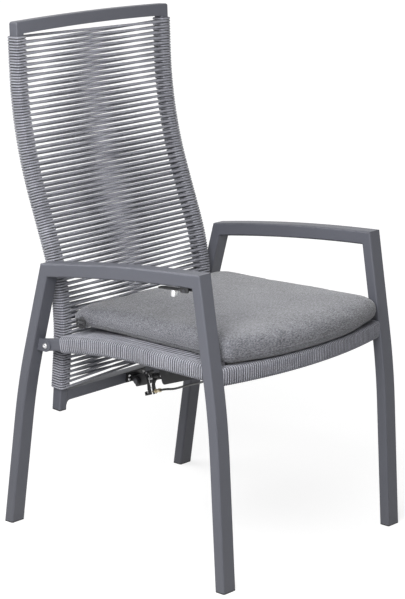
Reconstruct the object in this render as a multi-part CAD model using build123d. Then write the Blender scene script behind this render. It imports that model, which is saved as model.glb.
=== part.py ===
"""Reclining garden armchair: aluminium frame, rope-wound seat and backrest, gas spring under the seat.

Millimetres, +Z up. The chair faces -Y and right is the sitter's right, -X. The origin is on the floor,
under the middle of the chair. Every size is a named value, and pieces take their places from each other.
"""
from build123d import *
import math
import os

os.makedirs("parts", exist_ok=True)

# Overall sizes of the chair
overall_width = 600.0
front_reach = 344.4
back_height = 1107.0
arm_rear_height = 609.6

# Rope, and how it is wound
rope = 5.3
rope_pitch = 11.7
rope_seat = 0.2
winding_end_gap = 1.5

# Clearances shared by the pieces
running_gap = 0.3
shaft_gap = 0.05
touch_gap = 0.1
weld_seat = 0.2
slot_margin = 1.0

# Leg and armrest tubes
leg_width = 38.0
leg_depth = 25.0
arm_depth = 30.0
tube_wall = 2.0
tube_corner = 4.0
front_leg_foot_angle = 4.35
front_leg_top_angle = 10.1
front_bend_low = 280.0
front_bend_rise = 160.0
rear_leg_foot_y = 291.0
rear_leg_foot_angle = -7.6
rear_leg_top_angle = -14.3
rear_bend_low = 250.0
rear_bend_rise = 160.0
arm_mid_rise = 31.6
arm_front_rise = 51.0
arm_rear_overhang = 11.49
arm_front_overhang = 11.31
arm_mid_forward = 2.4

# Foot glides
glide_foot = 3.0
glide_plug = 18.0

# Backrest stiles, followed upwards from their lower end
stile_width = 21.8
stile_depth = 24.2
stile_corner = 3.0
stile_wall = 1.8
back_side_gap = 21.0
stile_foot_z = 270.0
stile_foot_y = 199.8
stile_foot_angle = -4.0
stile_low_run = 135.0
stile_low_bend = 225.0
stile_mid_angle = 21.2
stile_mid_share = 0.2328
stile_high_share = 0.5898
stile_top_angle = 3.2
back_winding_low = 316.0
cap_flange = 3.0
cap_plug = 12.0

# Top rail and bottom crossrail of the backrest
top_rail_height = 26.0
top_rail_crown = 4.0
top_corner = 6.0
crossrail_height = 24.0
crossrail_depth = 22.0
crossrail_z = 300.0
gusset = 10.0

# Seat rails
rail_width = 18.0
rail_height = 26.0
rail_corner = 4.0
rail_wall = 1.8
rail_flat_z = 454.5
rail_bend_front_y = -90.0
rail_bend_run = 240.0
rail_rear_angle = -10.8
front_rail_setback = 3.0
seat_winding_front_gap = 18.7
seat_winding_rear_gap = 43.0
front_rail_bow = 32.0
front_rail_depth = 18.0
front_rail_height = 29.0
front_rail_drop = 7.6

# Cross tubes under the seat
cross_tube = 25.0
cross_tube_wall = 1.5
rear_cross_y = 18.0
cross_tube_drop = 4.5

# Recline pivot
pivot_z = 424.0
pivot_shank = 8.0
pivot_head = 13.0
pivot_head_height = 4.5
bush_radius = 8.5
bush_wall = 2.5
dome_share = 0.6
bush_gap = 0.3
nut_height = 5.0
nut_width = 12.0
lug_thickness = 3.5
lug_height = 27.0
lug_reach = 28.0

# Gas spring line: the rod-end pin, measured from the recline pivot
rod_end_back = -20.0
rod_end_drop = 132.0
recline_range = 22.5
rod_pin_radius = 4.0
rod_pin_slack = 2.9

# Release head, in lengths along the spring from the rod-end pin
head_rear = 9.5
head_front = 28.0
head_width = 22.0
head_height = 26.0
head_corner = 4.0
ear_wall = 4.0
rod_radius = 5.0
sleeve_start = 49.2
sleeve_length = 14.0
sleeve_radius = 8.5
arm_plate_start = 31.6
arm_plate = 3.0
arm_plate_left = 4.0
arm_plate_right = 21.0
arm_pin_lift = 12.5
arm_pin_radius = 2.0
arm_barrel = 3.4
arm_low = 34.0
arm_foot = 11.0
arm_rod_gap = 2.0
arm_shoulder_gap = 0.9
cable_plate_start = 46.0
cable_plate = 3.0
cable_plate_low = 37.0
cable_plate_top = 9.0
cable_plate_left = 9.0
cable_plate_right = 21.0
plate_corner = 3.0
rod_nut_width = 14.0
rod_nut_length = 4.6
cable_x = -14.0
cable_drop = 31.0
adjuster_start = 42.5
adjuster_length = 24.0
adjuster_radius = 3.2
adjuster_nut_width = 9.0
adjuster_nut_length = 5.0
adjuster_grip_radius = 4.6
wire_radius = 0.75
nipple_radius = 2.6
nipple_length = 6.0
wire_bore = 1.4
adjuster_bore = 2.0
wire_reach = 3.0

# Channel, cylinder and front pin
channel_mouth = 88.0
channel_length = 286.0
channel_inside = 45.0
channel_wall = 2.5
channel_up = 21.5
channel_down = 20.4
channel_corner = 7.0
cylinder_radius = 14.0
cylinder_start_gap = 3.0
cylinder_wall = 2.5
guide_length = 12.0
piston_radius = 11.2
piston_length = 10.0
piston_reach = 20.0
cylinder_length = 150.0
cylinder_eye_reach = 16.0
cylinder_eye_radius = 9.0
cylinder_eye_width = 16.0
spring_pin_radius = 4.0
pin_head_radius = 6.5
pin_head_height = 3.0
hanger_width = 30.0
hanger_thickness = 4.0

# Spring bracket on the crossrail
bracket_ear = 3.0
bracket_ear_gap = 1.0
bracket_flange = 62.0
bracket_height = 22.0
bracket_base = 3.0
ear_radius = 9.0
screw_x = 23.0
screw_spacing = 8.5
screw_radius = 2.5
screw_head_radius = 3.2
screw_head_height = 2.2
screw_depth = 8.0

# Cable, and its route as shares of the way from the adjuster to its end, along each axis
cable_radius = 2.5
cable_route_shares = [
    (0.0238, 0.1349, 0.0743),
    (0.0914, 0.2476, 0.1689),
    (0.1908, 0.3786, 0.2813),
    (0.3100, 0.5157, 0.3937),
    (0.4452, 0.6528, 0.5061),
    (0.5843, 0.7776, 0.6126),
    (0.7194, 0.8843, 0.7072),
    (0.7921, 0.9360, 0.7918),
    (0.8458, 0.9817, 0.9231),
]
grommet_share = 0.44
cable_last_run = 19.6
cable_bend_share = 0.45
grommet_radius = 6.0
grommet_flange = 8.5
grommet_flange_thickness = 2.0
cable_straight = 16.0
cable_hole_gap = 0.4

# Hand lever under the right armrest
lever_setback = 46.3
lever_drop = 8.0
lever_length = 76.0
lever_width = 15.0
lever_side_gap = 0.5
lever_thickness = 3.0
lever_hang = 0.8
lever_pin_radius = 2.0
lever_barrel = 3.4
lever_bracket_length = 22.0
lever_bracket_wall = 2.5
lever_bracket_drop = 12.0
knob_reach = 36.0
knob_radius = 5.0
knob_length = 12.0
knob_edge = 1.2

# Seat cushion and its clips
cushion_side_gap = 6.0
cushion_front_overhang = 18.3
cushion_bow = 14.0
cushion_rear_gap = 33.4
cushion_corner = 18.0
cushion_edge = 36.0
cushion_crown = 11.0
cushion_tilt = 1.8
cushion_lift = 0.3
cushion_draw = 3.0
cushion_level_shares = (
    (0.0, 0.965), (0.15, 0.985), (0.4, 1.0), (0.6, 0.999), (0.8, 0.988), (0.93, 0.97), (1.0, 0.945)
)
cushion_crown_shares = ((0.28, 0.87), (0.56, 0.74), (0.84, 0.52), (1.0, 0.26))
clip_rise = 12.0
clip_setback = 48.0
clip_width = 26.0
clip_length = 18.0
clip_bar = 3.0
clip_thickness = 3.0
clip_seat = 0.5
clip_strap_width = 14.0
clip_strap_length = 12.0
clip_strap_thickness = 1.6


class SideLine:
    """A planar line of straight runs and tangent bends, followed along a main axis; leans in degrees."""

    def __init__(self, main, cross, lean):
        self.spans = []
        self.main, self.cross, self.lean = main, cross, lean

    def run(self, advance):
        step = advance * math.tan(math.radians(self.lean))
        self._add(advance, step, self.lean, None)
        return self

    def bend(self, advance, lean):
        a, b = math.radians(self.lean), math.radians(lean)
        radius = advance / (math.sin(b) - math.sin(a))
        self._add(advance, radius * (math.cos(a) - math.cos(b)), lean, radius)
        return self

    def _add(self, advance, step, lean, radius):
        span = (self.main, self.cross, self.lean, radius, self.main + advance, self.cross + step)
        self.spans.append(span)
        self.main, self.cross, self.lean = self.main + advance, self.cross + step, lean

    def at(self, main):
        """The cross place and the lean, in degrees, at a place along the main axis."""
        for m0, c0, lean, radius, m1, c1 in self.spans:
            if main <= m1 or (m1, c1) == (self.main, self.cross):
                break
        slope = math.radians(lean)
        if radius is None:
            return c0 + (main - m0) * math.tan(slope), lean
        now = math.asin(math.sin(slope) + (main - m0) / radius)
        return c0 + radius * (math.cos(slope) - math.cos(now)), math.degrees(now)

    def wire(self, place):
        """The line as one wire; place turns (main, cross) into a point."""
        edges = []
        for m0, c0, lean, radius, m1, c1 in self.spans:
            if radius is None:
                edges.append(Line(place(m0, c0), place(m1, c1)))
            else:
                middle = (m0 + m1) / 2
                edges.append(ThreePointArc(place(m0, c0), place(middle, self.at(middle)[0]), place(m1, c1)))
        return Wire([edge for piece in edges for edge in piece.edges()])


def upright(x):
    """Places a line that is followed upwards, at one x."""
    return lambda z, y: (x, y, z)


def lengthways(x):
    """Places a line that is followed from front to rear, at one x."""
    return lambda y, z: (x, y, z)


def end_plane(wire, share):
    """A plane across a wire that lies in a side plane, with its x axis along X."""
    return Plane(origin=wire @ share, x_dir=(1, 0, 0), z_dir=wire % share)


def swept_bar(wire, width, depth, corner):
    return sweep(end_plane(wire, 0) * RectangleRounded(width, depth, corner), path=wire)


def swept_tube(wire, width, depth, corner, wall):
    """A rectangular tube with rounded corners along a side line."""
    outer = swept_bar(wire, width, depth, corner)
    return outer - swept_bar(wire, width - wall * 2, depth - wall * 2, corner - wall)


def rod_along_x(x0, x1, y, z, radius):
    """A round bar along X from x0 to x1."""
    return Plane(origin=(x0, y, z), z_dir=(x1 - x0, 0, 0)) * Cylinder(
        radius, abs(x1 - x0), align=(Align.CENTER, Align.CENTER, Align.MIN)
    )


def mirrored(shape):
    return mirror(shape, about=Plane.YZ)


def save(shape, node):
    """Writes one node; a list of solids is written as one group."""
    if isinstance(shape, list):
        shape = Compound(children=[solid for part in shape for solid in part.solids()])
    shape.label = node
    export_step(shape, f"parts/{node}.step")


def leg_line(foot_y, foot_lean, bend_low, bend_rise, top_lean, top):
    """A leg's middle line, from below the floor to above the armrest."""
    below = leg_depth
    line = SideLine(-below, foot_y - below * math.tan(math.radians(foot_lean)), foot_lean)
    line.run(bend_low + below).bend(bend_rise, top_lean)
    return line.run(top - line.main)


def spring_block(u, w, x):
    """A block in the spring's frame; each argument is a (from, to) pair: along, above and across."""
    middle = Pos(sum(u) / 2, sum(w) / 2, -sum(x) / 2)
    return spring_frame * middle * Box(u[1] - u[0], w[1] - w[0], x[1] - x[0])


def spring_rod(u, w, x, radius):
    """A round bar along the spring from u[0] to u[1]."""
    return spring_frame * Pos(sum(u) / 2, w, -x) * Rot(0, 90, 0) * Cylinder(radius, u[1] - u[0])


def spring_pin_bar(u, w, x, radius):
    """A round bar across the spring from x[0] to x[1]."""
    return spring_frame * Pos(u, w, -sum(x) / 2) * Cylinder(radius, x[1] - x[0])


def both_ways(size):
    """The pair (-size, size)."""
    return -size, size


def hexagon(width, length, plane):
    """A hexagonal block of one width across its flats, rising from a plane."""
    return extrude(plane * RegularPolygon(width / math.sqrt(3), 6), length)


def spring_hexagon(u, w, x, width, length):
    start = spring_frame.from_local_coords(Vector(u, w, -x))
    return hexagon(width, length, Plane(origin=start, x_dir=(1, 0, 0), z_dir=spring_frame.x_dir))


def arc_centre(a, b, c):
    """The centre of the circle through three (y, z) points."""
    (ay, az), (by, bz), (cy, cz) = a, b, c
    d = 2 * (ay * (bz - cz) + by * (cz - az) + cy * (az - bz))
    a2, b2, c2 = ay * ay + az * az, by * by + bz * bz, cy * cy + cz * cz
    y = (a2 * (bz - cz) + b2 * (cz - az) + c2 * (az - bz)) / d
    z = (a2 * (cy - by) + b2 * (ay - cy) + c2 * (by - ay)) / d
    return y, z


def crossing(p, p_dir, q, q_dir):
    """Where two lines in the side view cross."""
    det = q_dir[0] * p_dir[1] - p_dir[0] * q_dir[1]
    t = (q_dir[0] * (q[1] - p[1]) - (q[0] - p[0]) * q_dir[1]) / det
    return p[0] + t * p_dir[0], p[1] + t * p_dir[1]


def arm_circle():
    """Centre and outer radius of the arched armrest."""
    points = (arm_rear_y, arm_rear_height), (arm_mid_y, arm_mid_height), (arm_front_y, arm_front_height)
    centre = arc_centre(*points)
    return centre, math.dist(centre, points[0])


def arm_underside(y):
    """Height of the armrest's underside at y, and its slope in degrees."""
    (cy, cz), radius = arm_circle()
    turn = math.asin((y - cy) / (radius - arm_depth))
    return cz + (radius - arm_depth) * math.cos(turn), -math.degrees(turn)


def mitre_plane(leg_line, corner_y, corner_z, side):
    """The welded mitre between a leg and the armrest; side is -1 at the front leg and 1 at the rear leg."""
    (cy, cz), radius = arm_circle()
    across = (corner_y - cy) / radius, (corner_z - cz) / radius
    along = -across[1], across[0]
    low = corner_y - across[0] * arm_depth, corner_z - across[1] * arm_depth
    leg_y, lean = leg_line.at(corner_z)
    leg_dir = math.sin(math.radians(lean)), math.cos(math.radians(lean))
    reach = side * leg_depth / 2 / leg_dir[1]
    outer = crossing((leg_y + reach, corner_z), leg_dir, (corner_y, corner_z), along)
    inner = crossing((leg_y - reach, corner_z), leg_dir, low, along)
    dy, dz = inner[0] - outer[0], inner[1] - outer[1]
    return Plane(origin=(leg_x, outer[0], outer[1]), x_dir=(1, 0, 0), z_dir=(0, dz, -dy))


def leg_bars(line):
    """A leg's tube, the solid bar of its outside, and the bar that fits inside it."""
    wire = line.wire(upright(leg_x))
    inset = tube_wall * 2 + touch_gap * 2
    return (
        swept_tube(wire, leg_width, leg_depth, tube_corner, tube_wall),
        swept_bar(wire, leg_width, leg_depth, tube_corner),
        swept_bar(wire, leg_width - inset, leg_depth - inset, tube_corner - tube_wall),
    )


def floor_slice(bar, low, high):
    return bar & Pos(leg_x, 0, (low + high) / 2) * Box(overall_width, front_reach * 3, high - low)


def glide(bar, core):
    """A foot glide: a sole under the tube and a plug inside it."""
    return floor_slice(bar, 0, glide_foot) + floor_slice(core, glide_foot, glide_foot + glide_plug)


def armrest(front_mitre, rear_mitre):
    (cy, cz), radius = arm_circle()
    middle = radius - arm_depth / 2
    front_turn = math.atan2(arm_front_height - cz, arm_front_y - leg_depth - cy)
    rear_turn = math.atan2(arm_rear_height - cz, arm_rear_y + leg_depth - cy)
    turns = front_turn, (front_turn + rear_turn) / 2, rear_turn
    points = [(leg_x, cy + middle * math.cos(t), cz + middle * math.sin(t)) for t in turns]
    wire = Wire(ThreePointArc(*points).edges())
    arm = swept_tube(wire, leg_width, arm_depth, tube_corner, tube_wall)
    arm = split(arm, front_mitre, keep=Keep.BOTTOM)
    return split(arm, rear_mitre, keep=Keep.TOP)


def side_frame():
    """Front leg, rear leg, armrest, two foot glides, and the solid bars of both legs."""
    front_tube, front_bar, front_core = leg_bars(front_leg_line)
    rear_tube, rear_bar, rear_core = leg_bars(rear_leg_line)
    front_mitre = mitre_plane(front_leg_line, arm_front_y, arm_front_height, -1)
    rear_mitre = mitre_plane(rear_leg_line, arm_rear_y, arm_rear_height, 1)
    sole = Plane.XY.offset(glide_foot)
    front_leg = split(split(front_tube, front_mitre, keep=Keep.TOP), sole, keep=Keep.TOP)
    rear_leg = split(split(rear_tube, rear_mitre, keep=Keep.BOTTOM), sole, keep=Keep.TOP)
    glides = [glide(front_bar, front_core), glide(rear_bar, rear_core)]
    return front_leg, rear_leg, armrest(front_mitre, rear_mitre), glides, front_bar, rear_bar


def seat_rail(front_bar, rear_bar):
    """The left seat rail, cut to the faces of the legs and drilled for the pivot bolt."""
    tube = swept_tube(rail_line.wire(lengthways(rail_x)), rail_width, rail_height, rail_corner, rail_wall)
    hole = rod_along_x(rail_x - rail_width, rail_x + rail_width, pivot_y, pivot_z, pivot_hole)
    return tube - front_bar - rear_bar - hole


def bow_wire(half):
    """The front rail's arc, bowed forward between the legs, carried on to half on each side."""
    inner = overall_width / 2 - leg_width
    radius = (inner**2 + front_rail_bow**2) / (front_rail_bow * 2)
    middle_y = front_leg_line.at(front_rail_z)[0] + front_rail_setback - front_rail_bow
    end_y = middle_y + radius - math.sqrt(radius**2 - half**2)
    points = (-half, end_y, front_rail_z), (0, middle_y, front_rail_z), (half, end_y, front_rail_z)
    return Wire(ThreePointArc(*points).edges())


def ended(shape, half):
    """The part of a shape between x = -half and x = half."""
    shape = split(shape, Plane(origin=(half, 0, 0), z_dir=(1, 0, 0)), keep=Keep.BOTTOM)
    return split(shape, Plane(origin=(-half, 0, 0), z_dir=(1, 0, 0)), keep=Keep.TOP)


def front_rail():
    """The bowed front rail and the rope wound round it."""
    inner = overall_width / 2 - leg_width
    wire = bow_wire(inner + rail_width)
    start = Plane(origin=wire @ 0, x_dir=(0, 0, 1), z_dir=wire % 0)

    def bar(grow):
        sides = front_rail_height + grow * 2, front_rail_depth + grow * 2
        return sweep(start * RectangleRounded(*sides, rail_corner + grow), path=wire)

    return ended(bar(0) - bar(-rail_wall), inner), ended(bar(rope) - bar(rope_seat), inner - winding_end_gap)


def slots(wire, half, offset, start, end, turn):
    """Gaps between strands: boxes across the winding, one at each pitch from start to end along the wire."""
    count = int((end - start) / rope_pitch)
    first = start + (end - start - (count - 1) * rope_pitch) / 2
    gap = Pos(0, offset, 0) * Rot(0, turn, 0) * Box(half * 2, rope * 2, rope_pitch - rope)
    return [end_plane(wire, (first + i * rope_pitch) / wire.length) * gap for i in range(count)]


def sleeve_rings(x, width, height, corner, grow):
    """Two rounded rectangles round a pair of bars at -x and x."""
    ring = RectangleRounded(width + grow * 2, height + grow * 2, corner + grow)
    return Pos(-x, 0) * ring + Pos(x, 0) * ring


def seat_winding(holes):
    """Rope round both side rails and across their tops: one closed form with its gaps."""
    wire = rail_line.wire(lengthways(0))
    top = -(rail_height + rope) / 2
    section = Pos(0, top) * Rectangle(rail_x * 2, rope)
    section += sleeve_rings(rail_x, rail_width, rail_height, rail_corner, rope)
    section -= sleeve_rings(rail_x, rail_width, rail_height, rail_corner, rope_seat)
    body = sweep(end_plane(wire, 0) * section, path=wire)
    front = rail_line.spans[0][0] + seat_winding_front_gap
    rear = pivot_y - seat_winding_rear_gap
    rear_z, rear_lean = rail_line.at(rear)
    slope = math.radians(rear_lean)
    rear_cut = Plane(origin=(0, rear, rear_z), z_dir=(0, math.cos(slope), math.sin(slope)))
    body = split(body, Plane(origin=(0, front, 0), z_dir=(0, 1, 0)), keep=Keep.TOP)
    body = split(body, rear_cut, keep=Keep.BOTTOM)
    start = seat_winding_front_gap + rope
    end = wire.length - (rail_line.main - rear) / math.cos(slope) - rope
    inner = rail_x - rail_width / 2 - rope
    return body - slots(wire, inner, top, start, end, 0) - holes


def cross_tube_height(y):
    return rail_line.at(y)[0] - cross_tube_drop


def cross_tube_bar(y, z, radius):
    inner = rail_x - rail_width / 2
    return rod_along_x(-inner, inner, y, z, radius)


def front_cross_place():
    """Where the front cross tube lies against the back of the spring channel."""
    y = rail_bend_front_y
    for _ in range(4):
        z = cross_tube_height(y)
        lift = channel_up + channel_wall + cross_tube / 2 - weld_seat
        y = rod_end_y + (lift - (z - rod_end_z) * math.cos(spring_lean)) / math.sin(spring_lean)
    return y, z


def stile():
    """The left stile, bored for the pivot bush."""
    tube = swept_tube(stile_line.wire(upright(stile_x)), stile_width, stile_depth, stile_corner, stile_wall)
    bore = pivot_shank / 2 + bush_wall
    return tube - rod_along_x(stile_x - stile_width, stile_x + stile_width, pivot_y, pivot_z, bore)


def stile_frame(x, z):
    """A frame across the stile line at height z: x along X, y rearward, z up the stile."""
    y, lean = stile_line.at(z)
    slope = math.radians(lean)
    return Plane(origin=(x, y, z), x_dir=(1, 0, 0), z_dir=(0, math.sin(slope), math.cos(slope)))


def stile_view(z):
    """The front view at height z, square to the stile line: x along X, y up the stile."""
    y, lean = stile_line.at(z)
    slope = math.radians(lean)
    return Plane(origin=(0, y, z), x_dir=(1, 0, 0), z_dir=(0, -math.cos(slope), math.sin(slope)))


def stile_cap():
    """The plug in the stile's lower end."""
    foot = stile_frame(stile_x, stile_foot_z)
    inset = stile_wall * 2 + touch_gap * 2
    plug_face = RectangleRounded(stile_width - inset, stile_depth - inset, stile_corner - stile_wall)
    flange = extrude(foot * RectangleRounded(stile_width, stile_depth, stile_corner), -cap_flange)
    return flange + extrude(foot * plug_face, cap_plug)


def top_rail():
    """The crowned rail that lies across both stiles."""
    half, ledge, top = back_width / 2, back_width / 2 - stile_width, top_rail_height
    outline = [
        Line((-half, 0), (-ledge, 0)),
        ThreePointArc((-ledge, 0), (0, top_rail_crown), (ledge, 0)),
        Line((ledge, 0), (half, 0)),
        Line((half, 0), (half, top)),
        ThreePointArc((half, top), (0, top + top_rail_crown), (-half, top)),
        Line((-half, top), (-half, 0)),
    ]
    face = make_face([edge for piece in outline for edge in piece.edges()])
    face = fillet([v for v in face.vertices() if v.Y > top / 2], top_corner)
    rail = extrude(stile_view(back_height - top) * face, stile_depth / 2, both=True)
    upper = [e for e in rail.edges() if e.length > back_width / 2 and e.center().Z > back_height - top / 2]
    return fillet(upper, stile_corner)


def crossrail():
    """The lower rail between the stiles, with welded corner gussets on its underside."""
    half = stile_x - stile_width / 2
    high, low = crossrail_height / 2, -crossrail_height / 2
    bend = gusset * (1 - math.sin(math.radians(45)))
    outline = [
        Line((-half, high), (half, high)),
        Line((half, high), (half, low - gusset)),
        ThreePointArc((half, low - gusset), (half - bend, low - bend), (half - gusset, low)),
        Line((half - gusset, low), (gusset - half, low)),
        ThreePointArc((gusset - half, low), (bend - half, low - bend), (-half, low - gusset)),
        Line((-half, low - gusset), (-half, high)),
    ]
    face = make_face([edge for piece in outline for edge in piece.edges()])
    return extrude(stile_view(crossrail_z) * face, crossrail_depth / 2, both=True)


def back_winding():
    """Rope round both stiles: front strands level, rear strands climbing one pitch; one closed form."""
    wire = stile_line.wire(upright(0))
    inner = stile_x - stile_width / 2 - rope
    section = RectangleRounded(back_width + rope * 2, stile_depth + rope * 2, stile_corner + rope)
    section -= Rectangle(inner * 2, stile_depth)
    section -= sleeve_rings(stile_x, stile_width, stile_depth, stile_corner, rope_seat)
    body = sweep(end_plane(wire, 0) * section, path=wire)
    top = stile_line.main - winding_end_gap
    body = split(body, stile_frame(0, back_winding_low), keep=Keep.TOP)
    body = split(body, stile_frame(0, top), keep=Keep.BOTTOM)
    start = (back_winding_low - stile_foot_z) / math.cos(math.radians(stile_foot_angle)) + rope
    end = wire.length - winding_end_gap - rope
    offset = (stile_depth + rope) / 2
    climb = math.degrees(math.atan2(rope_pitch, back_width))
    body -= slots(wire, inner - slot_margin, -offset, start, end, 0)
    body -= slots(wire, inner - slot_margin, offset, start, end, climb)
    hole = rod_along_x(inner, back_width, pivot_y, pivot_z, bush_radius + bush_gap)
    return body - hole - mirrored(hole)


def pivot_lug(rear_bar):
    """The plate welded to the rear leg, outside the seat rail."""
    near, far = rail_x + rail_width / 2, rail_x + rail_width / 2 + lug_thickness
    tail = Pos((near + far) / 2, pivot_y + lug_reach / 2, pivot_z) * Box(lug_thickness, lug_reach, lug_height)
    lug = rod_along_x(near, far, pivot_y, pivot_z, lug_height / 2) + tail - rear_bar
    return lug - rod_along_x(near - lug_thickness, far + lug_thickness, pivot_y, pivot_z, pivot_hole)


def pivot_bolt():
    """The bolt with its domed head outside the lug; it ends inside the stile."""
    near = rail_x + rail_width / 2 + lug_thickness
    end = stile_x - stile_width / 2 - running_gap - nut_height
    head = rod_along_x(near, near + pivot_head_height, pivot_y, pivot_z, pivot_head / 2)
    head = fillet(head.edges().group_by(Axis.X)[-1], pivot_head_height * dome_share)
    return head + rod_along_x(end, near, pivot_y, pivot_z, pivot_shank / 2)


def pivot_nut():
    start = stile_x - stile_width / 2 - running_gap
    face = Plane(origin=(start, pivot_y, pivot_z), x_dir=(0, 1, 0), z_dir=(-1, 0, 0))
    bore = rod_along_x(start - nut_width, start + nut_width, pivot_y, pivot_z, pivot_hole)
    return hexagon(nut_width, nut_height, face) - bore


def pivot_bush():
    """The bush in the stile, with the collar that keeps it off the seat rail."""
    inner, outer = stile_x - stile_width / 2, stile_x + stile_width / 2
    collar = rod_along_x(outer, rail_x - rail_width / 2 - running_gap, pivot_y, pivot_z, bush_radius)
    body = rod_along_x(inner, outer, pivot_y, pivot_z, pivot_shank / 2 + bush_wall)
    return collar + body - rod_along_x(inner - stile_width, rail_x, pivot_y, pivot_z, pivot_hole)


def release_head():
    """The block on the rod's end: an upright slot for the rod-end pin, and ears for the release arm."""
    half = head_width / 2
    outline = RectangleRounded(head_front + head_rear, head_height, head_corner)
    block = spring_frame * Pos((head_front - head_rear) / 2, 0) * extrude(outline, half, both=True)
    hole = rod_pin_radius + running_gap
    across = both_ways(half)
    block -= spring_pin_bar(0, 0, across, hole) + spring_pin_bar(0, -rod_pin_slack, across, hole)
    block -= spring_block(both_ways(hole), (-rod_pin_slack, 0), across)
    lift = arm_pin_lift - arm_barrel, arm_pin_lift + arm_barrel
    for x in ((-half, ear_wall - half), (half - ear_wall, half)):
        block += spring_block((head_front - head_corner, arm_pin_u), lift, x)
        block += spring_pin_bar(arm_pin_u, arm_pin_lift, x, arm_barrel)
    return block - spring_pin_bar(arm_pin_u, arm_pin_lift, across, arm_pin_radius + shaft_gap)


def release_arm():
    """The pressed arm that hangs from its pin, with a hole round the rod and a foot turned back."""
    neck = both_ways(head_width / 2 - ear_wall - running_gap)
    u = arm_plate_start, arm_plate_start + arm_plate
    through = u[0] - arm_foot - arm_plate, u[1] + arm_plate
    width = -arm_plate_right, arm_plate_left
    shoulder = arm_pin_lift - arm_barrel - arm_shoulder_gap
    arm = spring_block(u, (-arm_low, shoulder), width)
    arm += spring_block(u, (shoulder, arm_pin_lift), neck)
    arm += spring_pin_bar(arm_pin_u, arm_pin_lift, neck, arm_barrel)
    arm += spring_block((u[0] - arm_foot, u[1]), (-arm_low - arm_plate, -arm_low), width)
    arm -= spring_rod(through, 0, 0, rod_radius + arm_rod_gap)
    arm -= spring_rod(through, -cable_drop, cable_x, wire_bore)
    return arm - spring_pin_bar(arm_pin_u, arm_pin_lift, neck, arm_pin_radius + shaft_gap)


def piston_rod():
    """The rod with its piston inside the cylinder."""
    end = cylinder_start + piston_reach + piston_length
    rod = spring_rod((head_front, end), 0, 0, rod_radius)
    return rod + spring_rod((end - piston_length, end), 0, 0, piston_radius)


def rod_sleeve():
    u = sleeve_start, sleeve_start + sleeve_length
    return spring_rod(u, 0, 0, sleeve_radius) - spring_rod(u, 0, 0, rod_radius + shaft_gap)


def rod_nut():
    start = cable_plate_start - touch_gap - rod_nut_length
    nut = spring_hexagon(start, 0, 0, rod_nut_width, rod_nut_length)
    return nut - spring_rod((start - rod_nut_length, cable_plate_start), 0, 0, rod_radius + shaft_gap)


def cable_plate_piece():
    """The plate that holds the cable's adjuster below the rod."""
    u = cable_plate_start, cable_plate_start + cable_plate
    through = u[0] - cable_plate, u[1] + cable_plate
    plate = spring_block(u, (-cable_plate_low, cable_plate_top), (-cable_plate_right, cable_plate_left))
    plate = fillet([e for e in plate.edges() if abs(e.length - cable_plate) < touch_gap], plate_corner)
    plate -= spring_rod(through, 0, 0, rod_radius + shaft_gap)
    return plate - spring_rod(through, -cable_drop, cable_x, adjuster_radius + shaft_gap)


def cable_adjuster():
    """The threaded barrel with its lock nut and grip, bored for the wire."""
    end = adjuster_start + adjuster_length
    nut = cable_plate_start + cable_plate + touch_gap
    body = spring_rod((adjuster_start, end), -cable_drop, cable_x, adjuster_radius)
    body += spring_hexagon(nut, -cable_drop, cable_x, adjuster_nut_width, adjuster_nut_length)
    body += spring_rod((end - adjuster_nut_length, end), -cable_drop, cable_x, adjuster_grip_radius)
    return body - spring_rod((adjuster_start, end), -cable_drop, cable_x, adjuster_bore)


def wire_and_nipple():
    """The cable's inner wire from the release arm into the adjuster, and the nipple behind the arm."""
    end = arm_plate_start - touch_gap
    nipple = spring_rod((end - nipple_length, end), -cable_drop, cable_x, nipple_radius)
    wire = spring_rod((end, adjuster_start + wire_reach), -cable_drop, cable_x, wire_radius)
    return nipple, wire


def spring_channel(front_tube):
    """The folded channel that carries the gas spring, open below, with rounded mouth corners."""
    half = channel_inside / 2
    end = channel_mouth + channel_length
    back = channel_up + channel_wall
    centre = Pos((channel_mouth + end) / 2, (back - channel_down) / 2)
    side = centre * RectangleRounded(channel_length, back + channel_down, channel_corner)
    body = spring_frame * extrude(side, half + channel_wall, both=True)
    body += spring_block((channel_mouth, end), (back - channel_corner, back), both_ways(half + channel_wall))
    low = -channel_down - channel_inside
    body -= spring_block((0, end + channel_mouth), (low, channel_up), both_ways(half))
    pin = spring_pin_bar(spring_pin_u, 0, both_ways(channel_inside), spring_pin_radius + shaft_gap)
    return body - pin - front_tube


def gas_cylinder():
    """The pressure tube: rod guide, bore, closed end and its eye."""
    start, end = cylinder_start, cylinder_start + cylinder_length
    body = spring_rod((start, end), 0, 0, cylinder_radius)
    body -= spring_rod((start, start + guide_length), 0, 0, rod_radius + shaft_gap)
    body -= spring_rod((start + guide_length, end - guide_length), 0, 0, cylinder_radius - cylinder_wall)
    eye = spring_block((end - cylinder_wall, spring_pin_u), both_ways(rod_radius), both_ways(rod_radius))
    eye += spring_pin_bar(spring_pin_u, 0, both_ways(cylinder_eye_width / 2), cylinder_eye_radius)
    pin = spring_pin_bar(spring_pin_u, 0, both_ways(channel_inside), spring_pin_radius + shaft_gap)
    return body + eye - pin


def headed_pin(u, half, radius, head_radius, head_height):
    """A pin across the spring with a head at each end, clear of half on both sides."""
    near, far = half + touch_gap, half + touch_gap + head_height
    pin = spring_pin_bar(u, 0, both_ways(near), radius)
    pin += spring_pin_bar(u, 0, (-far, -near), head_radius)
    return pin + spring_pin_bar(u, 0, (near, far), head_radius)


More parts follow.
